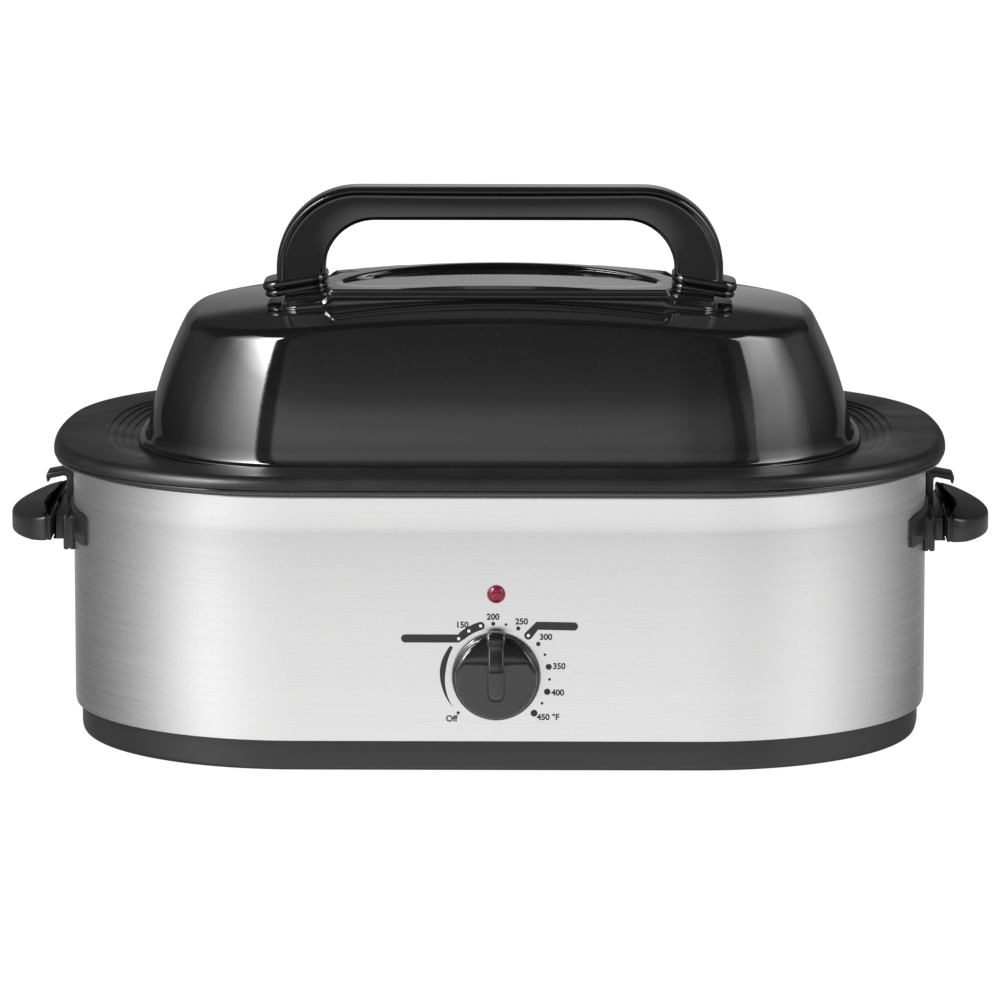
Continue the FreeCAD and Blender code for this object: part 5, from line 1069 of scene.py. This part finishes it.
def plinth_rings(plinth):
    """Beads of the front and back rails between the handle's legs, and a plain step past their ends."""
    # Where the level is None the height is the crown's and the third number, up to the rail's foot.
    railed_section = [(0.5, None, 0.0), (-0.5, None, 0.1), (-0.9, None, 0.5), (-1.0, None, 20),
                      (-0.8, 273.3, 0), (-0.25, 273.5, 0), (0, 274.1, 0), (0, 275.6, 0), (-0.3, 276.2, 0),
                      (-0.9, 276.4, 0), (-1.35, 276.6, 0), (-1.4, 277.1, 0), (-1.4, 278.4, 0),
                      (-1.65, 279.1, 0), (-2.2, 279.4, 0), (-4.8, 279.4, 0), (-5.5, 279.3, 0)]
    plain_section = [(1.2, 0.0), (0.5, 0.1), (0.15, 0.35), (0.05, 0.8), (0.0, 1.3), (-0.1, 1.8), (-0.4, 2.25),
                     (-0.9, 2.5)] + [(-1.4 - 0.5 * step, 9.0) for step in range(9)]
    rings = []
    for (grow, level, lift), (plain_grow, plain_lift) in zip(railed_section, plain_section):
        loop = []
        for point, plain in zip(ring(plinth, grow, 0.0), ring(plinth, plain_grow, 0.0)):
            railed = 1.0 - blend((abs(point.x) - RAIL_END) / RAIL_FADE)
            spot = plain.lerp(point, railed)
            base = crown(spot.x, spot.y)
            height = min(base + lift, RAIL_FOOT) if level is None else level
            if spot.y > 0:
                height = min(height, panel(spot.x) - 0.3)
            slope = min(base + plain_lift, plinth_top(spot.x, spot.y))
            loop.append(Vector((spot.x, spot.y, slope + (height - slope) * railed)))
        rings.append(loop)
    rings.append(ring(plinth, -PLINTH_EDGE, plinth_top))
    return rings


def dish_rings(plinth):
    """Shallow elliptical dish in the panel, its floor a little less crowned than the panel."""
    # A rectangle about as large as the panel spreads the points round the dish.
    half_x, half_y = 127.6, 53.6
    turns = [math.atan2(y / half_y, x / half_x) for (x, y), _ in round_box(half_x, half_y, PLINTH_EDGE)]

    def ellipse(inset):
        return [Vector(((DISH_X - inset) * math.cos(turn), (DISH_Y - inset) * math.sin(turn), 0.0))
                for turn in turns]

    between = steps_between(ring(plinth, -PLINTH_EDGE, 0.0), ellipse(0.0), PANEL_RINGS)[:-1]
    rings = [[Vector((spot.x, spot.y, plinth_top(spot.x, spot.y))) for spot in loop] for loop in between]
    for inset, drop in ((0.0, 0.0), (0.4, 0.12), (0.7, 0.4), (1.0, 1.0), (1.3, 1.7), (2.4, 9.0)):
        rings.append([Vector((spot.x, spot.y, max(panel(spot.x) - drop, dish_floor(spot.x))))
                      for spot in ellipse(inset)])
    for share in (0.8, 0.5, 0.2):
        spots = [(spot.x * share, spot.y * share) for spot in rings[-1]]
        rings.append([Vector((x, y, dish_floor(x))) for x, y in spots])
    return rings


def dish_floor(x):
    """Height of the dish's floor."""
    return PANEL_TOP - DISH_DEPTH - x * x / 3600.0


# ---------------------------------------------------------------- lid handle

COLLAR_CENTRE, COLLAR_TILT = Vector((126.0, 0.0, 271.5)), math.radians(9.5)
ARCH_HALF, ARCH_TOP, ARCH_ROUND = 138.8, 336.6, 50.5
GAP_HALF, GAP_TOP, GAP_ROUND = 108.5, 316.2, 31.0


def make_collars():
    """Collar of two soft beads under each leg of the arch, lying on the falling panel."""
    section = rounding(-2.6, 1.8, 2.2, -90, 62, 10) + rounding(-2.6, 6.6, 3.0, -58, 90, 12)
    for side, word in ((-1, "left"), (1, "right")):
        tilt = Euler((0.0, side * COLLAR_TILT, 0.0)).to_matrix()
        centre = COLLAR_CENTRE * Vector((side, 1, 1))
        rings = [[centre + tilt @ point for point in ring(round_box(20.0, 20.5, 9.5), grow, height)]
                 for grow, height in section]
        piece = skin(f"collar_{word}", rings, cap_start=True, cap_end=True, angle=50)
        fit(piece, arch_plastic, "lid", "handle_plastic", f"handle_flange_{word}")


def arch_path(half, radius, top):
    """Centre plane's curve of the arch, from the right leg's foot on its collar over to the left one."""
    # The legs end a little below the collars' tops, on a plane that falls outwards as the collars do.
    inner_x, inner_foot = 106.0, 275.1 + 7.8 / math.cos(COLLAR_TILT)
    foot = inner_foot - (half - inner_x) * math.tan(COLLAR_TILT)
    corner = (half - radius, top - radius)
    path = [Vector((half, 0, foot)), Vector((half, 0, (foot + corner[1]) / 2))]
    for step in range(21):
        turn = math.radians(90 * step / 20)
        path.append(Vector((corner[0] + radius * math.cos(turn), 0, corner[1] + radius * math.sin(turn))))
    path += [Vector((corner[0] * share, 0, top)) for share in (0.8, 0.5, 0.2)]
    return path + [Vector((-point.x, 0, point.z)) for point in reversed(path)]


def make_lid_handle():
    """Arch with a rolled outer rim; every section runs from the arch's inner curve to its outer one."""
    rim = [(0.0, 0.0), (0.0, 7.0), (0.2, 10.6), (0.9, 13.6), (1.7, 15.0), (2.5, 15.4), (3.3, 15.0),
           (4.0, 14.2), (4.7, 13.75), (5.6, 13.55), (7.0, 13.5)]
    edge = [(3.0, 13.48), (1.8, 13.3), (0.8, 12.6), (0.15, 11.2), (0.0, 9.0), (0.0, 0.0)]
    sections = []
    for out, into in zip(arch_path(ARCH_HALF, ARCH_ROUND, ARCH_TOP), arch_path(GAP_HALF, GAP_ROUND, GAP_TOP)):
        depth = (into - out).length
        way = (into - out).normalized()
        half = rim + [(depth - short, side) for short, side in edge]
        loop = [out + way * inward + Vector((0, -side, 0)) for inward, side in half]
        loop += [out + way * inward + Vector((0, side, 0)) for inward, side in half[-2:0:-1]]
        sections.append(loop)
    piece = skin("lid_arch", sections, cap_start=True, cap_end=True, angle=60)
    fit(piece, arch_plastic, "lid", "handle_plastic", "lid_handle")


# ---------------------------------------------------------------- controls

def lathe(name, profile, centre, steps):
    """Turned piece facing the front: profile is (radius, depth forwards) pairs from back to front."""
    turns = [2 * math.pi * step / steps for step in range(steps)]
    rings = [[centre + Vector((radius * math.cos(turn), -depth, radius * math.sin(turn))) for turn in turns]
             for radius, depth in profile]
    return skin(name, rings, cap_end=True, angle=30)


def knob_bar():
    """Knob's grip bar, from its tail below the centre to the nose that overhangs the skirt."""
    # Height above the centre, half width, and how far forward its back and its front lie.
    stations = [(-13.8, 1.5, 9.0, 10.2), (-13.0, 3.4, 9.0, 11.6), (-11.2, 4.7, 8.6, 13.2),
                (-8.0, 5.1, 8.2, 15.0), (-3.0, 5.1, 8.0, 16.8), (1.0, 5.0, 8.0, 17.8),
                (3.8, 5.0, 8.0, 18.15), (5.8, 4.95, 8.0, 18.1), (7.8, 4.9, 7.0, 17.7),
                (11.0, 4.85, 5.0, 16.6), (15.0, 4.8, 3.0, 14.9), (18.4, 4.8, 2.6, 13.4),
                (20.6, 4.9, 2.6, 12.8), (23.0, 5.3, 2.6, 12.6), (25.4, 5.6, 2.6, 11.8),
                (27.2, 5.0, 2.8, 10.2), (28.3, 3.0, 3.4, 8.4)]
    rings = []
    for along, half, back, front in stations:
        radius = min(1.8, half * 0.7, (front - back) * 0.4)
        loop = [(-half, back), (half, back)]
        for centre_x, start in ((half - radius, 0), (-half + radius, 90)):
            loop += rounding(centre_x, front - radius, radius, start, start + 90, 5)
        rings.append([KNOB_CENTRE + Vector((x, -depth, along)) for x, depth in loop])
    return skin("knob_bar", rings, cap_start=True, cap_end=True, angle=60)


def make_knob():
    """Skirt, a face whose upper part leans back, and the grip bar."""
    profile = [(22.0, 0.3), (26.2, 0.0), (26.6, 0.4), (26.6, 1.6), (26.3, 2.3), (25.7, 2.7), (25.2, 2.7),
               (24.9, 2.9), (24.7, 3.6), (24.5, 7.4), (24.2, 8.5), (23.6, 9.3), (22.6, 9.8), (21.0, 10.0),
               (18.0, 10.1), (15.0, 10.2), (12.0, 10.2)] + [(radius, 10.3) for radius in (9.0, 6.0, 3.0, 1.0)]
    skirt_depth, bend_height = 3.0, 11.4
    disc = lathe("knob_disc", profile, KNOB_CENTRE, 96)
    for vert in disc.data.vertices:
        depth = KNOB_CENTRE.y - vert.co.y / MM
        above = vert.co.z / MM - KNOB_CENTRE.z - bend_height
        lean = 0.22 * (above + math.hypot(above, 1.2))
        if depth > skirt_depth:
            depth = max(skirt_depth + 0.05 * (depth - skirt_depth), depth - lean)
            vert.co.y = (KNOB_CENTRE.y - depth) * MM
    smooth(disc.data, 30)
    fit(disc, knob_plastic, "knob", "knob_plastic", "control_knob")
    fit(knob_bar(), knob_plastic, "knob", "knob_plastic")


def make_lens():
    """Domed lens of the indicator lamp inside a thin bezel step."""
    profile = [(5.0, -0.4), (5.45, 0.0), (5.45, 0.7), (5.2, 1.05), (4.7, 1.2), (4.3, 1.5), (3.7, 2.2),
               (2.6, 2.7), (1.2, 2.9)]
    fit(lathe("lamp_lens", profile, LAMP_CENTRE, 48), lens_finish, "housing", "red_lens", "indicator_lens")


# ---------------------------------------------------------------- dial print

DOT_RING, BAR_WIDTH, LETTER_SIZE = 32.0, 5.0, 5.1


def on_front(x, height, proud=0.06):
    """Point just in front of the body's flat front, measured from the dial's centre."""
    return (x * MM, (DIAL_CENTRE.y - proud) * MM, (DIAL_CENTRE.z + height) * MM)


def patch(outline, proud=0.06):
    """Thin printed patch from points round its edge, anticlockwise from the front."""
    verts = [on_front(x, height, proud) for x, height in outline]
    return mesh_object("patch", verts, [tuple(range(len(verts)))])


def dial_point(turn, radius):
    """Point at a dial angle in degrees clockwise from the top."""
    return radius * math.sin(math.radians(turn)), radius * math.cos(math.radians(turn))


def disc_patch(centre, radius, proud=0.06):
    """Round printed patch."""
    turns = [2 * math.pi * step / 24 for step in range(24)]
    rim = [(centre[0] + radius * math.cos(turn), centre[1] + radius * math.sin(turn)) for turn in turns]
    return patch(rim, proud)


def stroke(path, widths):
    """Outline of a bar drawn along points, with its width at each."""
    left, right = [], []
    for index, (x, z) in enumerate(path):
        before = path[max(index - 1, 0)]
        after = path[min(index + 1, len(path) - 1)]
        way = Vector((after[0] - before[0], after[1] - before[1])).normalized()
        half = widths[index] / 2
        left.append((x - way.y * half, z + way.x * half))
        right.append((x + way.y * half, z - way.x * half))
    return right + left[::-1]


def letters(word, x, height):
    """Printed word with its middle at (x, height)."""
    text = bpy.data.curves.new("word", "FONT")
    text.body = word
    text.size = LETTER_SIZE
    text.offset = 0.035 * LETTER_SIZE
    text.align_x = "CENTER"
    text.align_y = "CENTER"
    holder = add_object("word", text)
    mesh = evaluated_mesh(holder)
    bpy.data.objects.remove(holder)
    for vert in mesh.vertices:
        vert.co = Vector(on_front(x + vert.co.x, height + vert.co.y))
    return add_object("word", mesh)


def print_dial():
    """Numbers, dots, the tapered arc beside the knob and the two bands with their white dots."""
    small = 0.85
    dots = [(-134.5, 1.0), (-3.2, 1.25), (10.6, small), (24.4, 1.3), (52.0, 1.35), (65.8, small),
            (79.6, 1.85), (93.4, small), (107.2, 1.95), (121.0, small), (134.8, 2.1)]
    black = [disc_patch(dial_point(turn, DOT_RING), radius) for turn, radius in dots]
    arc = [dial_point(-56.0 - 70.0 * step / 20, 32.2) for step in range(21)]
    swell = [2.0 + 1.6 * math.sin(math.pi * min(step, 8) / 16) for step in range(21)]
    widths = [max(wide - 3.5 * max(step - 8, 0) / 12, 0.05) for step, wide in enumerate(swell)]
    black.append(patch(stroke(arc, widths)))
    left_bar = [(-54.5, 22.9), (-22.5, 22.9)]
    left_bar += [dial_point(turn, DOT_RING) for turn in (-40, -36, -32, -28, -24, -20, -17)]
    right_bar = [dial_point(37.8, 31.4), (24.6, 30.8), (46.5, 30.4)]
    for path in (left_bar, right_bar):
        black.append(patch(stroke(path, [BAR_WIDTH] * len(path))))
        black += [disc_patch(end, BAR_WIDTH / 2, 0.055) for end in (path[0], path[-1])]
    words = {"150": (-20.4, 31.1), "200": (-1.9, 36.0), "250": (15.2, 33.2), "300": (29.7, 23.8),
             "350": (37.7, 6.0), "400": (36.9, -10.1), "450 °F": (31.1, -25.1), "Off": (-26.8, -26.1)}
    black += [letters(word, *place) for word, place in words.items()]
    white_dots = [(-44.6, DOT_RING), (-30.8, DOT_RING), (-17.0, DOT_RING), (37.8, 31.4)]
    white = [disc_patch(dial_point(turn, radius), 0.95, 0.1) for turn, radius in white_dots]
    fit(join("dial_print", black), ink_finish, "housing", "brushed_steel_body")
    fit(join("dial_white_dots", white), white_ink, "housing", "brushed_steel_body")


set_camera()
set_room()
lay_floor()
dress_frame()
make_wrapper()
make_rim()
make_rack()
make_screws()
make_side_handles()
make_pan()
make_lid()
make_collars()
make_lid_handle()
make_knob()
make_lens()
print_dial()
